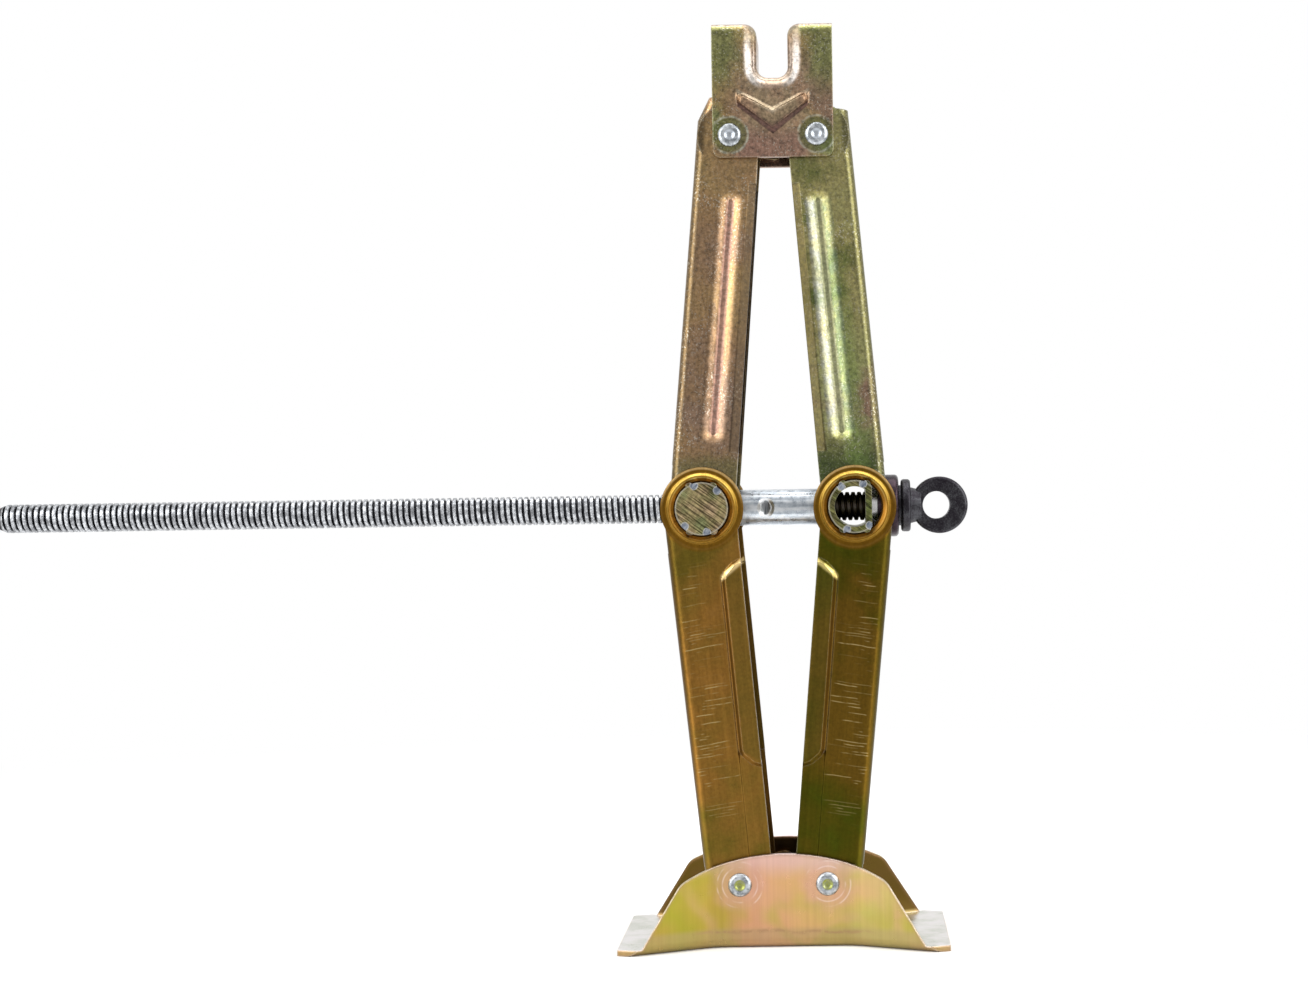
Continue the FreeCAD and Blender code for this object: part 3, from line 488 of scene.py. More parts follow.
def rub_ticks(edge, hand):
    """Thin slanting rub marks of uneven length that run in from the arm's outer bend."""
    def rub(f, sheet):
        bent = f.moved(turn=(0, RUB_SLANT * hand, 0), source=sheet)
        across, _, height = f.axes(sheet)
        level = f.plus(f.axes(bent)[2], f.swing(f.noise(90, 2.0), RUB_STEP))
        row = f.sums("SNAP", level, RUB_STEP)

        def chance(offset):
            return f.node("ShaderNodeTexWhiteNoise", {"noise_dimensions": "1D"}, {
                "W": f.plus(f.times(row, 500.0), offset)}).outputs["Value"]

        depth = f.times(f.less(across, edge), hand)
        begin = f.span(f.sums("POWER", chance(0.3), 2.0), 0.0, 1.0, 2.2 * MM, 12.0 * MM, smooth=False)
        stop = f.span(f.sums("POWER", chance(1.7), 1.6), 0.0, 1.0, 6.0 * MM, 21.0 * MM, smooth=False)
        reach = f.times(f.span(f.less(depth, begin), 0.0, 1.2 * MM),
                        f.span(f.less(depth, stop), 0.4 * MM, -2.2 * MM))
        place = f.span(chance(4.9), 0.0, 1.0, 0.4 * MM, 0.8 * MM, smooth=False)
        mark = f.near(f.less(f.less(level, row), place), 0.0, RUB_WIDTH)
        gaps = f.noise(1.0, 2.0, 0.6, f.moved(scale=(240, 60, 1500), source=bent))
        broken = f.span(gaps, 0.34, 0.56, 0.15, 1.0)
        ends = f.times(f.span(height, *RUB_LOW), f.span(height, *RUB_HIGH))
        return f.times(mark, reach, f.span(chance(8.2), 0.30, 0.95), broken, ends)
    return rub


def on_sheet(x, z, lean):
    """A point's place across and along the leaning sheet coordinates."""
    turn = math.radians(lean)
    return x * math.cos(turn) + z * math.sin(turn), z * math.cos(turn) - x * math.sin(turn)


# Each arm's axis and trunnion in its own sheet coordinates
LEFT_LOW, LEFT_LOW_END = on_sheet(NUT_X, SCREW_Z, ARM_LEAN)
RIGHT_LOW, RIGHT_LOW_END = on_sheet(BLOCK_X, SCREW_Z, -ARM_LEAN)
LEFT_HIGH, LEFT_FOOT = on_sheet(NUT_X, SCREW_Z, -ARM_LEAN)
RIGHT_HIGH, RIGHT_FOOT = on_sheet(BLOCK_X, SCREW_Z, ARM_LEAN)

# Lines along the arms, by their distance from the axis
BEAD_SHIFT = 2.2 * MM
LIP_LINE = 9.2 * MM
UPPER_BEND = 10.6 * MM
LOWER_BEND = 13.5 * MM
RUB_EDGE = 15.5 * MM
BEND_FADE = 1.0 * MM
LEFT_BEAD = LEFT_HIGH + BEAD_SHIFT
LEFT_LIP = LEFT_HIGH + LIP_LINE
RIGHT_BEAD = RIGHT_HIGH - BEAD_SHIFT
RIGHT_LIP = RIGHT_HIGH - LIP_LINE

TAN = (0.45, 0.29, 0.12)
MAUVE = (0.35, 0.22, 0.14)
PINE = (0.055, 0.090, 0.015)
LEFT_GOLD = [(0.0, (0.18, 0.125, 0.018)), (0.3, (0.26, 0.145, 0.026)), (0.65, (0.32, 0.155, 0.030)),
             (1.0, (0.36, 0.18, 0.045))]
RIGHT_GOLD = [(0.0, (0.065, 0.090, 0.006)), (0.35, (0.085, 0.080, 0.006)), (0.7, (0.12, 0.085, 0.008)),
              (1.0, (0.17, 0.095, 0.012))]
LEFT_ROSE = [(0.0, (0.31, 0.235, 0.085)), (0.35, TAN), (0.7, (0.40, 0.24, 0.115)), (1.0, MAUVE)]
RIGHT_GREEN = [(0.0, (0.115, 0.145, 0.025)), (0.3, (0.40, 0.35, 0.13)), (0.7, (0.41, 0.41, 0.16)),
               (1.0, MAUVE)]
SADDLE_OLIVE = [(0.0, (0.14, 0.175, 0.03)), (0.3, (0.31, 0.32, 0.12)), (0.6, TAN), (1.0, MAUVE)]


def green_flush(f, sheet, small):
    """Drifting green along the outer half of the right upper arm, fading towards its top."""
    across, _, along = f.axes(sheet)
    aside = f.plus(f.less(across, RIGHT_HIGH), f.swing(small, 8.0 * MM))
    rise = f.plus(f.less(along, RIGHT_FOOT), f.swing(f.noise(26, 2.0), 90.0 * MM))
    strip = f.times(f.span(aside, -4.0 * MM, 3.0 * MM), f.span(aside, 10.0 * MM, 4.0 * MM))
    return f.times(strip, f.span(rise, 100.0 * MM, 55.0 * MM), 0.6), (0.20, 0.30, 0.07)


off_left_ear, left_ear = trunnion_ear(NUT_X)
off_right_ear, right_ear = trunnion_ear(BLOCK_X)
# Each flat below is painted shade: the share of colour kept on faces square to y.
gold_left = plated_sheet(
    "gold_passivated_left", LEFT_GOLD, seed=1.3, lean=ARM_LEAN, streak=0.7, grain=0.6, edge_wear=0.3,
    flat=0.58, rub=rub_ticks(LEFT_LOW - RUB_EDGE, 1), relief=ledge_slope(LEFT_LOW, LEFT_LOW_END, 1),
    spared=off_left_ear,
    tints=[painted_bend_shade(LEFT_LOW - LOWER_BEND, BEND_FADE, (0.085, 0.048, 0.008)),
           *ledge_tints(LEFT_LOW, LEFT_LOW_END, 1, (0.92, 0.70, 0.33)), *left_ear])
gold_right = plated_sheet(
    "gold_passivated_right", RIGHT_GOLD, seed=4.1, lean=-ARM_LEAN, streak=0.7, grain=0.6, edge_wear=0.3,
    flat=0.54, rub=rub_ticks(RIGHT_LOW + RUB_EDGE, -1), relief=ledge_slope(RIGHT_LOW, RIGHT_LOW_END, -1),
    spared=off_right_ear,
    tints=[painted_bend_shade(RIGHT_LOW + LOWER_BEND, -BEND_FADE, (0.075, 0.056, 0.007)),
           *ledge_tints(RIGHT_LOW, RIGHT_LOW_END, -1, (0.88, 0.70, 0.25)), *right_ear])
rose_upper = plated_sheet(
    "rose_passivated", LEFT_ROSE, seed=2.2, lean=-ARM_LEAN, grain=2.0, sparkle=0.45, film=0.12, flat=0.46,
    relief=bead_bottom(LEFT_BEAD, LEFT_FOOT), spared=off_lip(LEFT_LIP, LEFT_FOOT, 1),
    tints=[low_band(201 * MM, 4 * MM, (0.15, 0.17, 0.06), 0.6),
           lip_hue(LEFT_LIP, LEFT_FOOT, 1, (0.060, 0.037, 0.015)),
           painted_bend_shade(LEFT_HIGH - UPPER_BEND, BEND_FADE, (0.13, 0.085, 0.033)),
           bead_floor(LEFT_BEAD, LEFT_FOOT, (0.60, 0.33, 0.25), 0.8),
           painted_slope_shading(LEFT_BEAD, LEFT_FOOT, -1, (0.17, 0.10, 0.05), 0.8)])
green_upper = plated_sheet(
    "green_passivated", RIGHT_GREEN, seed=7.7, lean=ARM_LEAN, grain=2.0, sparkle=0.45, film=0.12, flat=0.48,
    relief=bead_bottom(RIGHT_BEAD, RIGHT_FOOT), spared=off_lip(RIGHT_LIP, RIGHT_FOOT, -1),
    tints=[low_band(206 * MM, 8 * MM, PINE, 0.9),
           green_flush,
           lip_hue(RIGHT_LIP, RIGHT_FOOT, -1, (0.085, 0.060, 0.012)),
           painted_bend_shade(RIGHT_HIGH + UPPER_BEND, -BEND_FADE, (0.12, 0.11, 0.038)),
           bead_floor(RIGHT_BEAD, RIGHT_FOOT, (0.44, 0.45, 0.25), 0.7),
           painted_slope_shading(RIGHT_BEAD, RIGHT_FOOT, -1, (0.33, 0.34, 0.31), 0.8),
           painted_slope_shading(RIGHT_BEAD, RIGHT_FOOT, 1, (0.15, 0.20, 0.11), 0.75)])


def saddle_patch(shade, strength, across, up):
    """A patch of another hue on the saddle, between limits across it and up it in millimetres."""
    def tint(f, sheet, small):
        x, _, z = f.axes()
        ragged = f.swing(small, 10.0)
        aside = f.plus(f.times(f.size(x), PER_MM), ragged)
        rise = f.plus(f.times(f.less(z, SADDLE_Z), PER_MM), ragged)
        return f.times(f.span(aside, *across), f.span(rise, *up), strength), shade
    return tint


PIN_PATCH = 8.0 * MM
PIN_RING = 7.6 * MM
PIN_RING_WIDTH = 0.8 * MM


def pin_patches(f, sheet, small):
    """Greener round patches about the saddle's pins."""
    discs = [f.span(f.around(pin), PIN_PATCH, PIN_PATCH * 0.8) for pin in SADDLE_PINS]
    return f.times(f.most(*discs), 0.7), (0.14, 0.18, 0.05)


def pin_rings(f, sheet, small):
    """Round witness marks about the saddle's pins, broken by noise."""
    rings = [f.near(f.around(pin), PIN_RING, PIN_RING_WIDTH) for pin in SADDLE_PINS]
    broken = f.span(f.noise(260, 3.0), 0.36, 0.60, 0.15, 1.0)
    return f.times(f.most(*rings), broken, 0.8), (0.62, 0.64, 0.50)


# The chevron's lower and upper sides, in millimetres over the pins at the middle and their rise outwards
CHEVRON_LOW = 0.4
CHEVRON_LOW_RISE = 0.787
CHEVRON_HIGH = 11.3
CHEVRON_HIGH_RISE = 0.52
CHEVRON_END = (15.6, 14.2)


def chevron_place(f):
    """Height within the pressed chevron, from nothing at its lower side to one at its upper, and its run."""
    x, _, z = f.axes()
    aside = f.times(f.size(x), PER_MM)
    rise = f.times(f.less(z, SADDLE_Z), PER_MM)
    low = f.plus(f.times(aside, CHEVRON_LOW_RISE), CHEVRON_LOW)
    high = f.plus(f.times(aside, CHEVRON_HIGH_RISE), CHEVRON_HIGH)
    share = f.sums("DIVIDE", f.less(rise, low), f.less(high, low))
    return share, f.span(aside, *CHEVRON_END)


def chevron_swell(f):
    """Rounded crest of the chevron, in millimetres, fuller towards its upper side."""
    share, reach = chevron_place(f)
    skewed = f.sums("POWER", f.span(share, 0.15, 0.85, smooth=False), 1.4)
    return f.times(skewed, f.rest(skewed), reach, 2.4)


def chevron_shadow(f, sheet, small):
    """Painted shade on the lower flank of the chevron."""
    share, reach = chevron_place(f)
    return f.times(f.span(share, 0.42, 0.16), f.span(share, -0.06, 0.02), reach, 0.92), (0.070, 0.032, 0.028)


def chevron_highlight(f, sheet, small):
    """Painted highlight along the upper edge of the chevron, broken by noise."""
    share, reach = chevron_place(f)
    rise = f.times(f.span(share, 0.62, 0.86), f.span(share, 1.05, 0.97))
    return f.times(rise, f.span(small, 0.34, 0.56, 0.35, 1.0), reach, 0.42), (0.74, 0.68, 0.52)


def off_chevron(f, sheet):
    """One away from the chevron."""
    share, reach = chevron_place(f)
    return f.rest(f.times(f.span(share, -0.30, -0.16), f.span(share, 1.26, 1.14), reach))


# The sill groove and the fold along it, in millimetres
GROOVE_HALF = 6.4
GROOVE_CORNER = 4.6
GROOVE_SILL = 24.1
FOLD = 4.6
SOFT_FOLD = 7.4
FOLD_KEPT = 1.4


def groove_distance(f):
    """Distance in millimetres outwards from the sill groove's walls and bottom."""
    x, _, z = f.axes()
    aside = f.less(f.times(f.size(x), PER_MM), GROOVE_HALF - GROOVE_CORNER)
    under = f.less(GROOVE_SILL + GROOVE_CORNER, f.times(f.less(z, SADDLE_Z), PER_MM))
    out_x = f.most(aside, 0.0)
    out_z = f.most(under, 0.0)
    away = f.sums("SQRT", f.plus(f.times(out_x, out_x), f.times(out_z, out_z)))
    return f.less(away, GROOVE_CORNER)


def fold_drop(f, distance, radius):
    """How far a fold of a radius has fallen away at a distance from its wall, in millimetres."""
    inward = f.most(f.less(radius, distance), 0.0)
    level = f.sums("SQRT", f.less(radius * radius, f.times(inward, inward)))
    return f.less(radius, level)


def saddle_relief(f, sheet):
    """The chevron's crest, and a softer start to the groove's fold."""
    distance = f.most(groove_distance(f), FOLD_KEPT)
    fold = f.less(fold_drop(f, distance, FOLD), fold_drop(f, distance, SOFT_FOLD))
    return f.plus(chevron_swell(f), fold)


def fold_highlight(f, sheet, small):
    """Paler pink round the groove's fold: a painted highlight."""
    ragged = f.plus(groove_distance(f), f.swing(small, 2.2))
    return f.times(f.span(ragged, 6.4, 3.8), 0.6), (0.44, 0.33, 0.26)


def fold_corner_highlight(f, sheet, small):
    """Painted highlight, brightest where the fold turns at the groove's two lower corners."""
    x, _, z = f.axes()
    ragged = f.plus(groove_distance(f), f.swing(small, 1.6))
    aside = f.span(f.size(x), 3.0 * MM, 9.0 * MM)
    under = f.span(f.less(z, SADDLE_Z), 43.0 * MM, 31.0 * MM)
    return f.times(f.span(ragged, 6.0, 4.2), aside, under, 0.85), (0.78, 0.74, 0.70)


def top_hem(f, sheet, small):
    """Rubbed pink along the saddle's top edges."""
    rise = f.less(f.axes()[2], SADDLE_Z)
    return f.times(f.span(rise, 44.6 * MM, 45.6 * MM), 0.85), (0.46, 0.34, 0.27)


olive_saddle = plated_sheet(
    "olive_passivated", SADDLE_OLIVE, seed=3.4, cloud=30.0, grain=2.6, sparkle=0.55, film=0.12, flat=0.47,
    relief=saddle_relief, spared=off_chevron,
    tints=[saddle_patch((0.24, 0.275, 0.085), 0.8, (9, 19), (12, 30)),
           saddle_patch((0.50, 0.31, 0.22), 0.65, (21, 9), (36, 20)),
           saddle_patch((0.37, 0.20, 0.15), 0.75, (19, 11), (6, -4)),
           fold_highlight, fold_corner_highlight, top_hem, chevron_shadow, chevron_highlight, pin_patches, pin_rings])

# The base's hues from its left end to its right
BASE_HALF = 66.0 * MM
BASE_HUES = [
    (0.0, (0.44, 0.25, 0.07)), (0.16, (0.32, 0.29, 0.035)), (0.30, (0.40, 0.28, 0.055)),
    (0.40, (0.55, 0.29, 0.15)), (0.52, (0.58, 0.33, 0.16)), (0.62, (0.55, 0.35, 0.13)),
    (0.74, (0.42, 0.36, 0.10)), (0.86, (0.38, 0.32, 0.075)), (1.0, (0.46, 0.28, 0.09))]
TAB_SILVER = [(0.0, (0.58, 0.60, 0.53)), (0.5, (0.74, 0.73, 0.70)), (1.0, (0.82, 0.80, 0.80))]
BASE_RINGS = (7.2 * MM, 9.4 * MM)
BASE_CREASE = 6.8 * MM
BASE_MARGIN = 3.2 * MM
BASE_EDGE = 1.3 * MM


def bright_base():
    """The base's brighter plating: yellow ends, pink middle, pale tabs, a scuffed bend with painted shade in
    its crease, and painted shade on its inner faces and in a band inside its edges.
    """
    f = Finish("bright_passivated")
    x, y, z = f.axes()
    inside = f.size(x)
    _, face_y, face_z = f.axes(f.node("ShaderNodeNewGeometry").outputs["Normal"])
    broad = f.noise(24, 2.0, 0.5, f.moved((3.1, 0.4, 1.2)), 0.8)
    small = f.noise(150, 4.0, 0.6)
    along = f.span(x, -BASE_HALF, BASE_HALF, smooth=False)
    colour = f.hues(f.plus(along, f.swing(broad, 0.40), f.swing(small, 0.08)), BASE_HUES)
    blush = f.span(f.noise(38, 2.0, 0.5, f.moved((7.7, 1.4, 0.2)), 0.6), 0.46, 0.66)
    colour = f.blend(f.times(blush, 0.40), colour, (0.58, 0.31, 0.21))
    ragged = [f.plus(f.around(pin), f.swing(small, 8.0 * MM)) for pin in BASE_PINS]
    halo = f.most(*[f.span(distance, 14.0 * MM, 6.0 * MM) for distance in ragged])
    colour = f.blend(f.times(halo, 0.5), colour, (0.56, 0.31, 0.25))
    olive = f.span(f.noise(44, 2.0, 0.5, f.moved((2.3, 5.1, 0.9)), 0.5), 0.53, 0.68)
    low = f.span(z, 24.0 * MM, 16.0 * MM)
    colour = f.blend(f.times(olive, low, 0.55), colour, (0.38, 0.33, 0.06))
    crown = f.span(f.plus(z, f.swing(broad, 12.0 * MM)), 28.0 * MM, 37.0 * MM)
    colour = f.blend(f.times(crown, 0.6), colour, (0.64, 0.43, 0.42))
    foot = f.span(z, 9.5 * MM, 6.5 * MM)
    colour = f.blend(f.times(foot, 0.5), colour, (0.36, 0.27, 0.14))
    lines = f.noise(1.0, 4.0, 0.65, f.moved(scale=(700, 700, 9)))
    colour = f.shade(colour, f.span(lines, 0.30, 0.70, 0.94, 1.06, smooth=False))
    rings = [f.near(f.around(pin), radius, 0.5 * MM) for pin in BASE_PINS for radius in BASE_RINGS]
    broken = f.span(f.noise(120, 2.0), 0.42, 0.60)
    colour = f.blend(f.times(f.most(*rings), broken, 0.4), colour, (0.80, 0.66, 0.60))
    # Scuffing along the base's bend, with painted shade in its crease
    bend = f.near(f.plus(z, f.swing(f.noise(60, 3.0, 0.6), 6.0 * MM)), BASE_CREASE, 1.2 * MM)
    patchy = f.span(f.noise(300, 3.0, 0.6), 0.36, 0.56)
    crease = f.times(bend, f.span(inside, 40.0 * MM, 28.0 * MM), patchy)
    colour = f.blend(f.times(crease, 0.65), colour, (0.34, 0.20, 0.11))
    # Painted shade: inner faces made nearly black
    inner = f.times(f.span(f.times(y, face_y), -3.0 * MM, -12.0 * MM), f.span(z, 2.5 * MM, 4.5 * MM))
    colour = f.blend(f.times(inner, 0.95), colour, (0.075, 0.042, 0.008))
    upward = f.times(f.span(face_z, 0.5, 0.9), f.span(z, 4.5 * MM, 3.0 * MM))
    tab = f.times(upward, f.span(inside, 44.0 * MM, 52.0 * MM))
    silver = f.hues(f.span(f.mixed(broad, small, 0.5), 0.38, 0.62), TAB_SILVER)
    colour = f.blend(f.times(tab, 0.94), colour, silver)
    # Painted shade: a darker band just inside the edges, standing for a double rim
    margin = f.edges(BASE_MARGIN)[0]
    colour = f.blend(f.times(margin, f.rest(tab), 0.40), colour, (0.36, 0.20, 0.12))
    worn, normal = f.edges(BASE_EDGE)
    chips = f.span(f.noise(420, 3.0, 0.6), 0.30, 0.60, 0.5, 1.0)
    colour = f.blend(f.times(worn, chips, f.rest(inner), 0.6), colour, (0.86, 0.76, 0.70))
    speck = f.noise(900, 2.0, 0.6)
    height = f.plus(f.times(lines, 0.5), f.times(speck, 0.4), f.times(crease, -1.0))
    normal = f.bump(height, 0.18, 0.14 * MM, normal)
    return f.metal(colour, f.span(small, 0.3, 0.7, 0.27, 0.38), normal, flat=0.92)


# Ends of the trunnions: the turns of their punch marks in degrees, and their plating
NUT_STAKES = (48, 107, 226, 282)
BLOCK_STAKES = (70, 124, 250, 307)
STAKE_CIRCLE = 9.9 * MM
STAKE_R = 1.6 * MM
BAR_RIM = 10.6 * MM
SAW_TURN = -36
TAN_SAWN = [(0.0, (0.21, 0.22, 0.10)), (0.45, (0.33, 0.27, 0.13)), (1.0, (0.40, 0.29, 0.17))]
GREEN_SAWN = [(0.0, (0.13, 0.15, 0.050)), (0.45, (0.19, 0.18, 0.070)), (1.0, (0.24, 0.21, 0.10))]
STAKE_STEEL = [(0.0, (0.20, 0.24, 0.32)), (1.0, (0.52, 0.57, 0.66))]


def sawn_bar(name, x, seed, stakes, stops):
    """Trunnion bar: plated, with slanting saw lines on its ends and bare punch marks at the rim."""
    f = Finish(name)
    slant = f.moved((seed, 0, seed), (0, SAW_TURN, 0))
    lines = f.noise(1.0, 3.0, 0.6, f.moved(scale=(110, 60, 2000), source=slant))
    cross = f.noise(1.0, 2.0, 0.6, f.moved(scale=(900, 300, 300), source=slant))
    broad = f.noise(90, 3.0, 0.55, f.moved((seed, 0, 0)))
    colour = f.hues(f.span(broad, 0.35, 0.65), stops)
    sawn = f.times(f.span(lines, 0.36, 0.66, 0.35, 1.80), f.span(cross, 0.3, 0.7, 0.8, 1.25))
    colour = f.shade(colour, sawn)
    rim = f.near(f.around((x, 0, SCREW_Z)), BAR_RIM, 0.5 * MM)
    colour = f.blend(f.times(rim, 0.6), colour, (0.70, 0.66, 0.54))
    spots = []
    for turn in stakes:
        angle = math.radians(turn)
        centre = (x + STAKE_CIRCLE * math.cos(angle), 0, SCREW_Z + STAKE_CIRCLE * math.sin(angle))
        spots.append(f.plus(f.around(centre), f.swing(cross, 1.0 * MM)))
    lip = f.most(*[f.near(spot, STAKE_R, 0.3 * MM) for spot in spots])
    stake = f.most(*[f.span(spot, STAKE_R, STAKE_R * 0.75) for spot in spots])
    colour = f.blend(f.times(stake, 0.95), colour, f.hues(f.span(cross, 0.35, 0.65), STAKE_STEEL))
    colour = f.blend(f.times(lip, 0.7), colour, (0.80, 0.80, 0.82))
    worn, normal = f.edges(0.3 * MM)
    colour = f.blend(f.times(worn, 0.5), colour, (0.72, 0.70, 0.62))
    normal = f.bump(f.less(lines, f.times(stake, 1.2)), 0.45, 0.2 * MM, normal)
    return f.metal(colour, f.span(lines, 0.3, 0.7, 0.30, 0.46), normal, flat=0.53)


def plain_steel(name, dark, light, rough, scale=160, wear=0.4):
    """Bare or oiled steel with uneven tone."""
    f = Finish(name)
    broad = f.noise(scale, 4.0, 0.6)
    fine = f.noise(scale * 9, 3.0, 0.6)
    colour = f.hues(f.span(f.mixed(broad, fine, 0.35), 0.35, 0.65), [(0.0, dark), (1.0, light)])
    worn, normal = f.edges(0.3 * MM)
    colour = f.blend(f.times(worn, wear), colour, (0.7, 0.7, 0.72))
    normal = f.bump(fine, 0.2, 0.1 * MM, normal)
    return f.metal(colour, f.span(fine, 0.3, 0.7, rough - 0.07, rough + 0.09), normal)


THREAD_STEEL = [(0.0, (0.17, 0.175, 0.185)), (0.6, (0.42, 0.43, 0.45)), (1.0, (0.72, 0.74, 0.76))]
THREAD_OIL = (0.025, 0.026, 0.03)
GREASE = (0.030, 0.020, 0.011)
GREASE_FROM = BLOCK_X - 9.5 * MM


def oiled_thread():
    """Rolled thread: oil in the grooves, patchy bright steel on the crests, grease in the right trunnion."""
    f = Finish("oiled_thread")
    crest = f.span(f.around((0, 0, SCREW_Z), (0, 1, 1)), 5.1 * MM, 5.7 * MM)
    patch = f.noise(420, 4.0, 0.65)
    fine = f.noise(2000, 2.0, 0.6)
    tone = f.mixed(patch, fine, 0.4)
    colour = f.blend(crest, THREAD_OIL, f.hues(f.span(tone, 0.36, 0.64), THREAD_STEEL))
    along = f.plus(f.axes()[0], f.swing(patch, 3.0 * MM))
    greasy = f.span(along, GREASE_FROM - 1.0 * MM, GREASE_FROM + 1.0 * MM)
    colour = f.blend(f.times(greasy, 0.93), colour, GREASE)
    normal = f.bump(tone, 0.3, 0.2 * MM)
    return f.metal(colour, f.span(patch, 0.3, 0.7, 0.26, 0.42), normal)


DRAWN_STEEL = [(0.0, (0.27, 0.30, 0.34)), (0.55, (0.58, 0.63, 0.68)), (1.0, (0.90, 0.93, 0.96))]
CUT_STEEL = [(0.0, (0.15, 0.16, 0.17)), (1.0, (0.30, 0.31, 0.32))]
LOCK_MARK = (-5.6 * MM, 0, SCREW_Z)
LOCK_OVAL = (1.15, 0, 1.0)
LOCK_SLIT = (1.70, 0, 1.0)


def bright_sleeve():
    """Zinc-plated tube with drawn lines along it and a chiselled lock mark, with a painted highlight on the
    mark's lips.
    """
    f = Finish("bright_sleeve")
    drawn = f.noise(1.0, 4.0, 0.6, f.moved(scale=(16, 420, 420)))
    blotch = f.noise(320, 4.0, 0.6)
    tone = f.mixed(drawn, blotch, 0.4)
    colour = f.hues(f.span(tone, 0.36, 0.64), DRAWN_STEEL)
    front = f.span(f.axes()[1], 0.0, -2.0 * MM)
    rim = f.around(LOCK_MARK, LOCK_OVAL)
    # Painted highlight on the lips of the lock mark, on the front only
    colour = f.blend(f.times(f.span(rim, 4.3 * MM, 3.8 * MM), front, 0.9), colour, (0.92, 0.94, 0.96))
    slit = f.times(f.span(f.around(LOCK_MARK, LOCK_SLIT), 3.2 * MM, 2.8 * MM), front)
    cuts = f.noise(1.0, 2.0, 0.6, f.moved(turn=(0, 12, 0), scale=(1500, 100, 140)))
    colour = f.blend(slit, colour, f.hues(f.span(cuts, 0.4, 0.6), CUT_STEEL))
    worn, normal = f.edges(0.3 * MM)
    colour = f.blend(f.times(worn, 0.4), colour, (0.8, 0.82, 0.84))
    dish = f.times(f.span(rim, 2.8 * MM, 4.2 * MM, -0.9, 0.0, smooth=False), front)
    normal = f.bump(dish, 1.0, MM, normal)
    normal = f.bump(tone, 0.25, 0.15 * MM, normal)
    return f.metal(colour, f.span(blotch, 0.3, 0.7, 0.24, 0.38), normal, flat=0.52)


RIVET_ZINC = [(0.0, (0.24, 0.26, 0.28)), (1.0, (0.58, 0.61, 0.64))]


def rivet_finish(name, pins, recess):
    """Bright rivet heads, tinted in the recess, with a thin ring of painted shade round its edge."""
    f = Finish(name)
    blotch = f.noise(500, 3.0, 0.6)
    colour = f.hues(f.span(blotch, 0.35, 0.65), RIVET_ZINC)
    hollow = f.most(*[f.span(f.around(pin), 2.6 * MM, 2.0 * MM) for pin in pins])
    colour = f.blend(f.times(hollow, f.span(blotch, 0.35, 0.60, 0.6, 0.95)), colour, recess)
    # Painted shade: a thin dark ring round the edge of the recess
    rim = f.most(*[f.near(f.around(pin), 2.4 * MM, 0.4 * MM) for pin in pins])
    colour = f.blend(f.times(rim, 0.2), colour, (0.24, 0.25, 0.26))
    normal = f.bump(blotch, 0.25, 0.3 * MM)
    return f.metal(colour, f.span(blotch, 0.3, 0.7, 0.26, 0.36), normal, flat=0.75)


FORGED_BLACK = [(0.0, (0.022, 0.018, 0.024)), (0.5, (0.040, 0.037, 0.043)), (1.0, (0.095, 0.096, 0.104))]


def black_forging():
    """Oxidised forging with a grainy skin and greyer rubbed edges."""
    f = Finish("black_forging")
    grain = f.noise(1900, 3.0, 0.65)
    blotch = f.noise(110, 4.0, 0.6)
    tone = f.mixed(blotch, grain, 0.5)
    colour = f.hues(f.span(tone, 0.36, 0.66), FORGED_BLACK)
    worn, normal = f.edges(0.5 * MM)
    colour = f.blend(f.times(worn, f.span(blotch, 0.4, 0.6), 0.5), colour, (0.36, 0.37, 0.40))
    normal = f.bump(tone, 0.55, 0.2 * MM, normal)
    return f.metal(colour, f.span(grain, 0.3, 0.7, 0.36, 0.52), normal, flat=0.60)


saddle_rivet = rivet_finish("saddle_rivets", SADDLE_PINS, (0.40, 0.43, 0.47))
base_rivet = rivet_finish("base_rivets", BASE_PINS, (0.26, 0.28, 0.035))
thread_steel = oiled_thread()
bearing_bright = plain_steel("ground_race", (0.45, 0.44, 0.44), (0.60, 0.59, 0.60), 0.24)
FINISHES = {
    "base": bright_base(),
    "lower_arm_left": gold_left,
    "lower_arm_right": gold_right,
    "upper_arm_left": rose_upper,
    "upper_arm_right": green_upper,
    "saddle": olive_saddle,
    "nut_trunnion": sawn_bar("sawn_nut", NUT_X, 0.3, NUT_STAKES, TAN_SAWN),
    "bearing_trunnion": sawn_bar("sawn_tube", BLOCK_X, 1.9, BLOCK_STAKES, GREEN_SAWN),
    "lead_screw": thread_steel,
    "crank_eye": black_forging(),
    "stop_sleeve": bright_sleeve(),
    "thrust_washer": bearing_bright,
    "housing_race": bearing_bright,
    "shaft_race": bearing_bright,
    "thrust_balls": plain_steel("polished_ball", (0.74, 0.74, 0.76), (0.82, 0.82, 0.84), 0.12),
    "ball_cage": plain_steel("pressed_cage", (0.40, 0.38, 0.33), (0.52, 0.50, 0.45), 0.34),
    "bearing_shell": plain_steel("blued_cup", (0.016, 0.012, 0.016), (0.050, 0.034, 0.042), 0.28, 120, 0.15),
    "base_pin_left": base_rivet,
    "base_pin_right": base_rivet,
    "saddle_pin_left": saddle_rivet,
    "saddle_pin_right": saddle_rivet}
for node, finish in FINISHES.items():
    for place in nodes[node].material_slots:
        place.material = finish


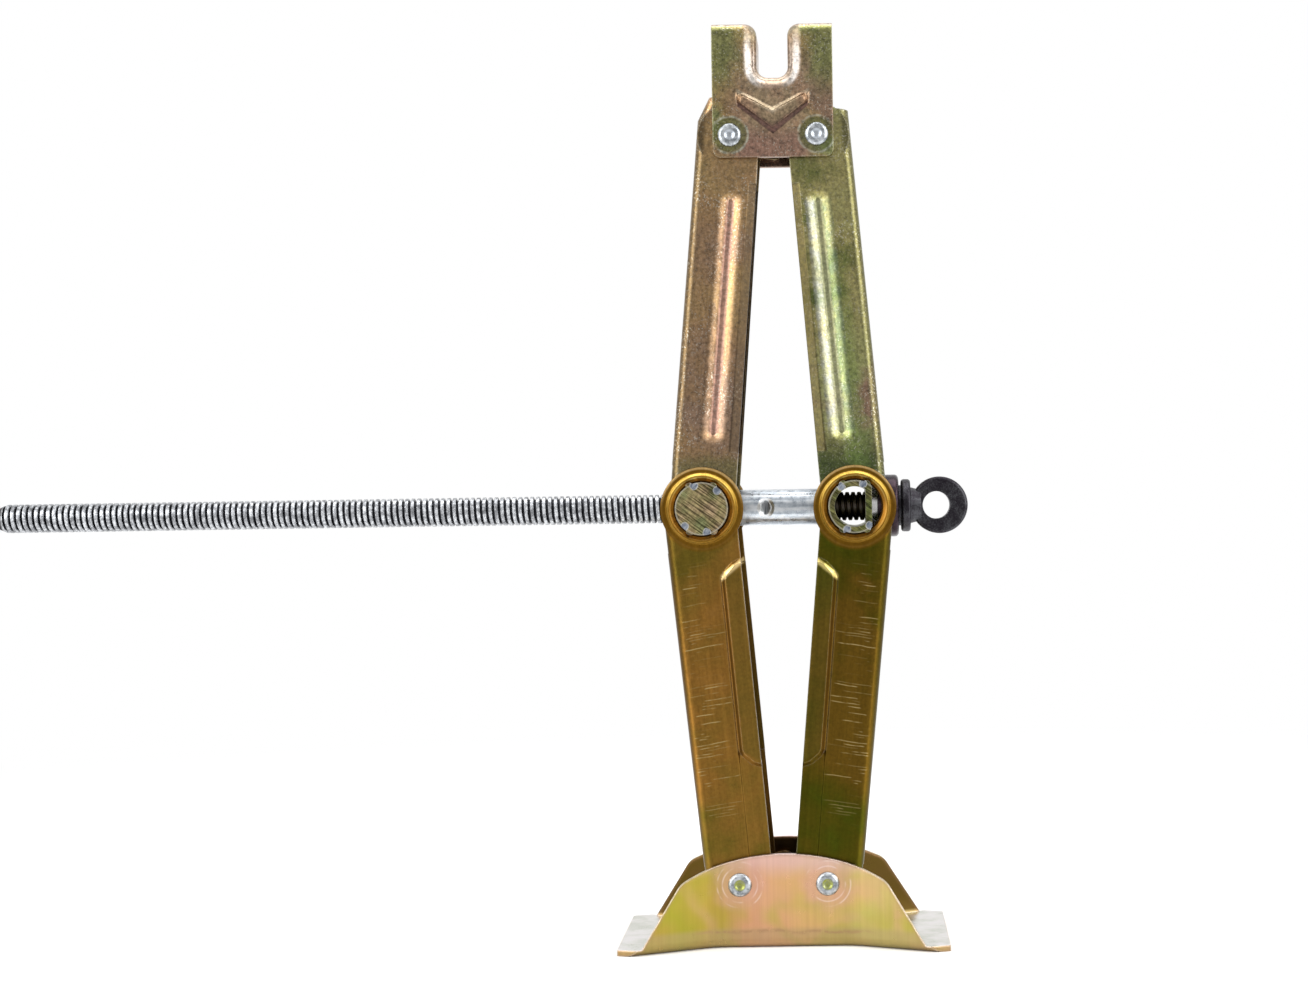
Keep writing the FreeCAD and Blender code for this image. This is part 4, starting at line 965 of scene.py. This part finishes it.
def piece(name, mesh, finish, body, stands_for, sharp):
    """Close a bmesh into an object that stands for a node, with edges past an angle left sharp."""
    bmesh.ops.recalc_face_normals(mesh, faces=mesh.faces)
    data = bpy.data.meshes.new(name)
    mesh.to_mesh(data)
    mesh.free()
    data.shade_smooth()
    data.set_sharp_from_angle(angle=math.radians(sharp))
    data.materials.append(finish)
    made = bpy.data.objects.new(name, data)
    scene.collection.objects.link(made)
    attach(made, body)
    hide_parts(stands_for)


def outline_edges(mesh, points):
    """A row of vertices through points, joined by edges."""
    row = [mesh.verts.new(point) for point in points]
    for a, b in zip(row, row[1:]):
        mesh.edges.new((a, b))


def everything(mesh):
    return mesh.verts[:] + mesh.edges[:] + mesh.faces[:]


# The lead screw's own sizes in millimetres
PITCH = 2.5
THREAD_R = 6.0
ROOT_R = 4.75
CREST = 1.25
ROOT_FLAT = 0.35
CREST_DROP = 0.04
SHOULDER_DROP = 0.22
TIP_R = 4.55
TIP_TAPER = 0.42
SCREW_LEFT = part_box("lead_screw")[0].x / MM
SCREW_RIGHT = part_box("lead_screw")[1].x / MM
THREAD_STOP = BLOCK_X / MM + 5.0
SHANK_R = 5.2
SHANK_LAP = 1.0
TURN_STEPS = 28


def lead_screw():
    """Rolled thread as a true helix, tapered at its free end, with the plain shank behind it."""
    mesh = bmesh.new()
    start = SCREW_LEFT - PITCH
    count = int((THREAD_STOP - start) / PITCH) + 2
    flank = (PITCH - CREST - ROOT_FLAT) / 2
    top = ROOT_FLAT + flank
    profile = [(0, ROOT_R), (ROOT_FLAT, ROOT_R), (ROOT_FLAT + flank * 0.75, THREAD_R - SHOULDER_DROP),
               (top, THREAD_R - CREST_DROP), (top + CREST / 2, THREAD_R),
               (top + CREST, THREAD_R - CREST_DROP),
               (top + CREST + flank * 0.25, THREAD_R - SHOULDER_DROP), (PITCH, ROOT_R)]
    outline_edges(mesh, [(start + along, 0, radius) for along, radius in profile])
    bmesh.ops.spin(mesh, geom=mesh.verts[:] + mesh.edges[:], cent=(0, 0, 0), axis=(1, 0, 0),
                   dvec=(PITCH / TURN_STEPS, 0, 0), angle=math.tau, steps=TURN_STEPS)
    turns = 1
    while turns < count:
        copy = bmesh.ops.duplicate(mesh, geom=everything(mesh))
        moved = [g for g in copy["geom"] if isinstance(g, bmesh.types.BMVert)]
        bmesh.ops.translate(mesh, verts=moved, vec=(PITCH * turns, 0, 0))
        turns *= 2
    bmesh.ops.remove_doubles(mesh, verts=mesh.verts, dist=1e-3)
    for end, outward in ((SCREW_LEFT, -1), (THREAD_STOP, 1)):
        cut = bmesh.ops.bisect_plane(mesh, geom=everything(mesh), dist=1e-5, plane_co=(end, 0, 0),
                                     plane_no=(outward, 0, 0), clear_outer=True)
        rim = [e for e in cut["geom_cut"] if isinstance(e, bmesh.types.BMEdge)]
        bmesh.ops.contextual_create(mesh, geom=rim)
    for vert in mesh.verts:
        limit = min(THREAD_R, TIP_R + TIP_TAPER * (vert.co.x - SCREW_LEFT))
        radius = math.hypot(vert.co.y, vert.co.z)
        if radius > limit:
            vert.co.y *= limit / radius
            vert.co.z *= limit / radius
    shank_from = THREAD_STOP - SHANK_LAP
    shank = bmesh.ops.create_cone(mesh, cap_ends=True, segments=48, radius1=SHANK_R, radius2=SHANK_R,
                                  depth=SCREW_RIGHT - shank_from)
    centre = Matrix.Translation(((SCREW_RIGHT + shank_from) / 2, 0, 0))
    bmesh.ops.transform(mesh, verts=shank["verts"], matrix=centre @ Matrix.Rotation(math.pi / 2, 4, "Y"))
    bmesh.ops.scale(mesh, verts=mesh.verts, vec=(MM, MM, MM))
    bmesh.ops.translate(mesh, verts=mesh.verts, vec=(0, 0, SCREW_Z))
    piece("lead_screw_thread", mesh, thread_steel, "screw", "lead_screw", 35)


lead_screw()

# The rivet pins' own sizes in millimetres
HEAD_DEPTH = 1.5
HEAD_R = 4.9
NECK_R = 3.8
NECK_DEPTH = 2.5
PIN_R = 5.5
PIN_STEPS = 48


def rivet_pin(name, body, node, finish):
    """Shouldered pin with a rounded, recessed head at each end."""
    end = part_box(node)[1].y / MM
    wall = end - HEAD_DEPTH
    neck = wall - NECK_DEPTH
    half = [(end - 0.80, 0.0), (end - 0.74, 0.8), (end - 0.48, 1.5), (end - 0.15, 2.0), (end, 2.5),
            (end - 0.03, 3.3), (end - 0.24, 4.0), (end - 0.62, 4.5), (end - 1.0, 4.8), (end - 1.25, HEAD_R),
            (wall, HEAD_R), (wall, NECK_R), (neck, NECK_R), (neck, PIN_R)]
    profile = half + [(-along, radius) for along, radius in reversed(half)]
    mesh = bmesh.new()
    outline_edges(mesh, [(0, along * MM, radius * MM) for along, radius in profile])
    bmesh.ops.spin(mesh, geom=mesh.verts[:] + mesh.edges[:], cent=(0, 0, 0), axis=(0, 1, 0), angle=math.tau,
                   steps=PIN_STEPS, use_merge=True)
    bmesh.ops.remove_doubles(mesh, verts=mesh.verts, dist=1e-6)
    bmesh.ops.translate(mesh, verts=mesh.verts, vec=(middle(node).x, 0, middle(node).z))
    piece(name, mesh, finish, body, node, 60)


for hand in ("left", "right"):
    rivet_pin("base_rivet_" + hand, "base", "base_pin_" + hand, base_rivet)
    rivet_pin("saddle_rivet_" + hand, "saddle", "saddle_pin_" + hand, saddle_rivet)

# The studio's own sizes in metres, and its lamps in watts
FLOOR_HALF = 2.5
FLOOR_BACK = 2.0
FLOOR_GREY = (0.88, 0.88, 0.88)
FLOOR_OVAL = (0.8, 1, 0)
FADE_FROM = 0.18
FADE_TO = 0.75
WHITE = (1, 1, 1)
TENT_OPENING = (-0.95, -0.55)
OPENING_LIGHT = 0.28
SIDE_X = 1.1
SIDE_POWER = 13
TOP_POWER = 8


def floor_sheet():
    """Pale floor that keeps the shadow near the jack and fades to white away from it."""
    mesh = bmesh.new()
    bmesh.ops.create_grid(mesh, x_segments=8, y_segments=8, size=FLOOR_HALF)
    bmesh.ops.translate(mesh, verts=mesh.verts, vec=(0, FLOOR_BACK, 0))
    data = bpy.data.meshes.new("floor")
    mesh.to_mesh(data)
    mesh.free()
    made = bpy.data.objects.new("floor", data)
    scene.collection.objects.link(made)
    f = Finish("pale_floor")
    far = f.span(f.around((0, 0, 0), FLOOR_OVAL), FADE_FROM, FADE_TO)
    paths = f.node("ShaderNodeLightPath").outputs
    seen = f.most(paths["Is Camera Ray"], paths["Is Glossy Ray"], paths["Is Transmission Ray"])
    matt = f.node("ShaderNodeBsdfDiffuse", None, {"Color": opaque(FLOOR_GREY)})
    white = f.node("ShaderNodeEmission", None, {"Color": opaque(WHITE), "Strength": 1.0})
    both = f.node("ShaderNodeMixShader", None, {
        0: f.times(seen, far), 1: matt.outputs[0], 2: white.outputs[0]})
    f.node("ShaderNodeOutputMaterial", None, {"Surface": both.outputs[0]})
    data.materials.append(f.material)


floor_sheet()


def tent():
    """White tent, plain white where it is seen or mirrored, that lights matt faces less from its opening."""
    world = bpy.data.worlds.new("tent")
    scene.world = world
    world.use_nodes = True
    tree = world.node_tree
    tree.nodes.clear()
    direction = add_node(tree, "ShaderNodeTexCoord").outputs["Generated"]
    depth = add_node(tree, "ShaderNodeSeparateXYZ", None, {0: direction}).outputs[1]
    light = add_node(tree, "ShaderNodeMapRange", {"interpolation_type": "SMOOTHSTEP"}, {
        "Value": depth, "From Min": TENT_OPENING[0], "From Max": TENT_OPENING[1],
        "To Min": OPENING_LIGHT, "To Max": 1.0}).outputs[0]
    paths = add_node(tree, "ShaderNodeLightPath").outputs
    white = paths["Is Camera Ray"]
    for kind in ("Is Transmission Ray", "Is Glossy Ray"):
        white = add_node(tree, "ShaderNodeMath", {"operation": "MAXIMUM"}, {
            0: white, 1: paths[kind]}).outputs[0]
    shown = add_node(tree, "ShaderNodeMix", {"data_type": "FLOAT"}, {0: white, 2: light, 3: 1.0}).outputs[0]
    back = add_node(tree, "ShaderNodeBackground", None, {"Color": opaque(WHITE), "Strength": shown})
    add_node(tree, "ShaderNodeOutputWorld", None, {"Surface": back.outputs[0]})


tent()


def soft_box(name, place, aim, width, height, power):
    """Broad lamp turned towards a point."""
    lamp = bpy.data.lights.new(name, "AREA")
    lamp.shape = "RECTANGLE"
    lamp.size = width
    lamp.size_y = height
    lamp.energy = power
    made = bpy.data.objects.new(name, lamp)
    scene.collection.objects.link(made)
    made.location = place
    made.rotation_euler = (Vector(aim) - Vector(place)).to_track_quat("-Z", "Y").to_euler()


for name, x in (("left_box", -SIDE_X), ("right_box", SIDE_X)):
    soft_box(name, (x, -0.75, 0.70), (0, 0, 0.19), 0.95, 1.3, SIDE_POWER)
soft_box("top_box", (0.0, 0.1, 1.4), (0, 0, 0.1), 1.2, 0.8, TOP_POWER)


def photo_camera():
    """Camera at the photograph's viewing angle, with its slight roll."""
    data = bpy.data.cameras.new("camera")
    data.sensor_width = 36
    data.lens = 58.2
    data.shift_x = -0.1422
    data.shift_y = -0.0023
    data.clip_start = 0.01
    camera = bpy.data.objects.new("camera", data)
    scene.collection.objects.link(camera)
    camera.location = (0.0255, -0.890, 0.1883)
    camera.rotation_euler = (math.pi / 2, 0.0153, 0)
    scene.camera = camera


photo_camera()
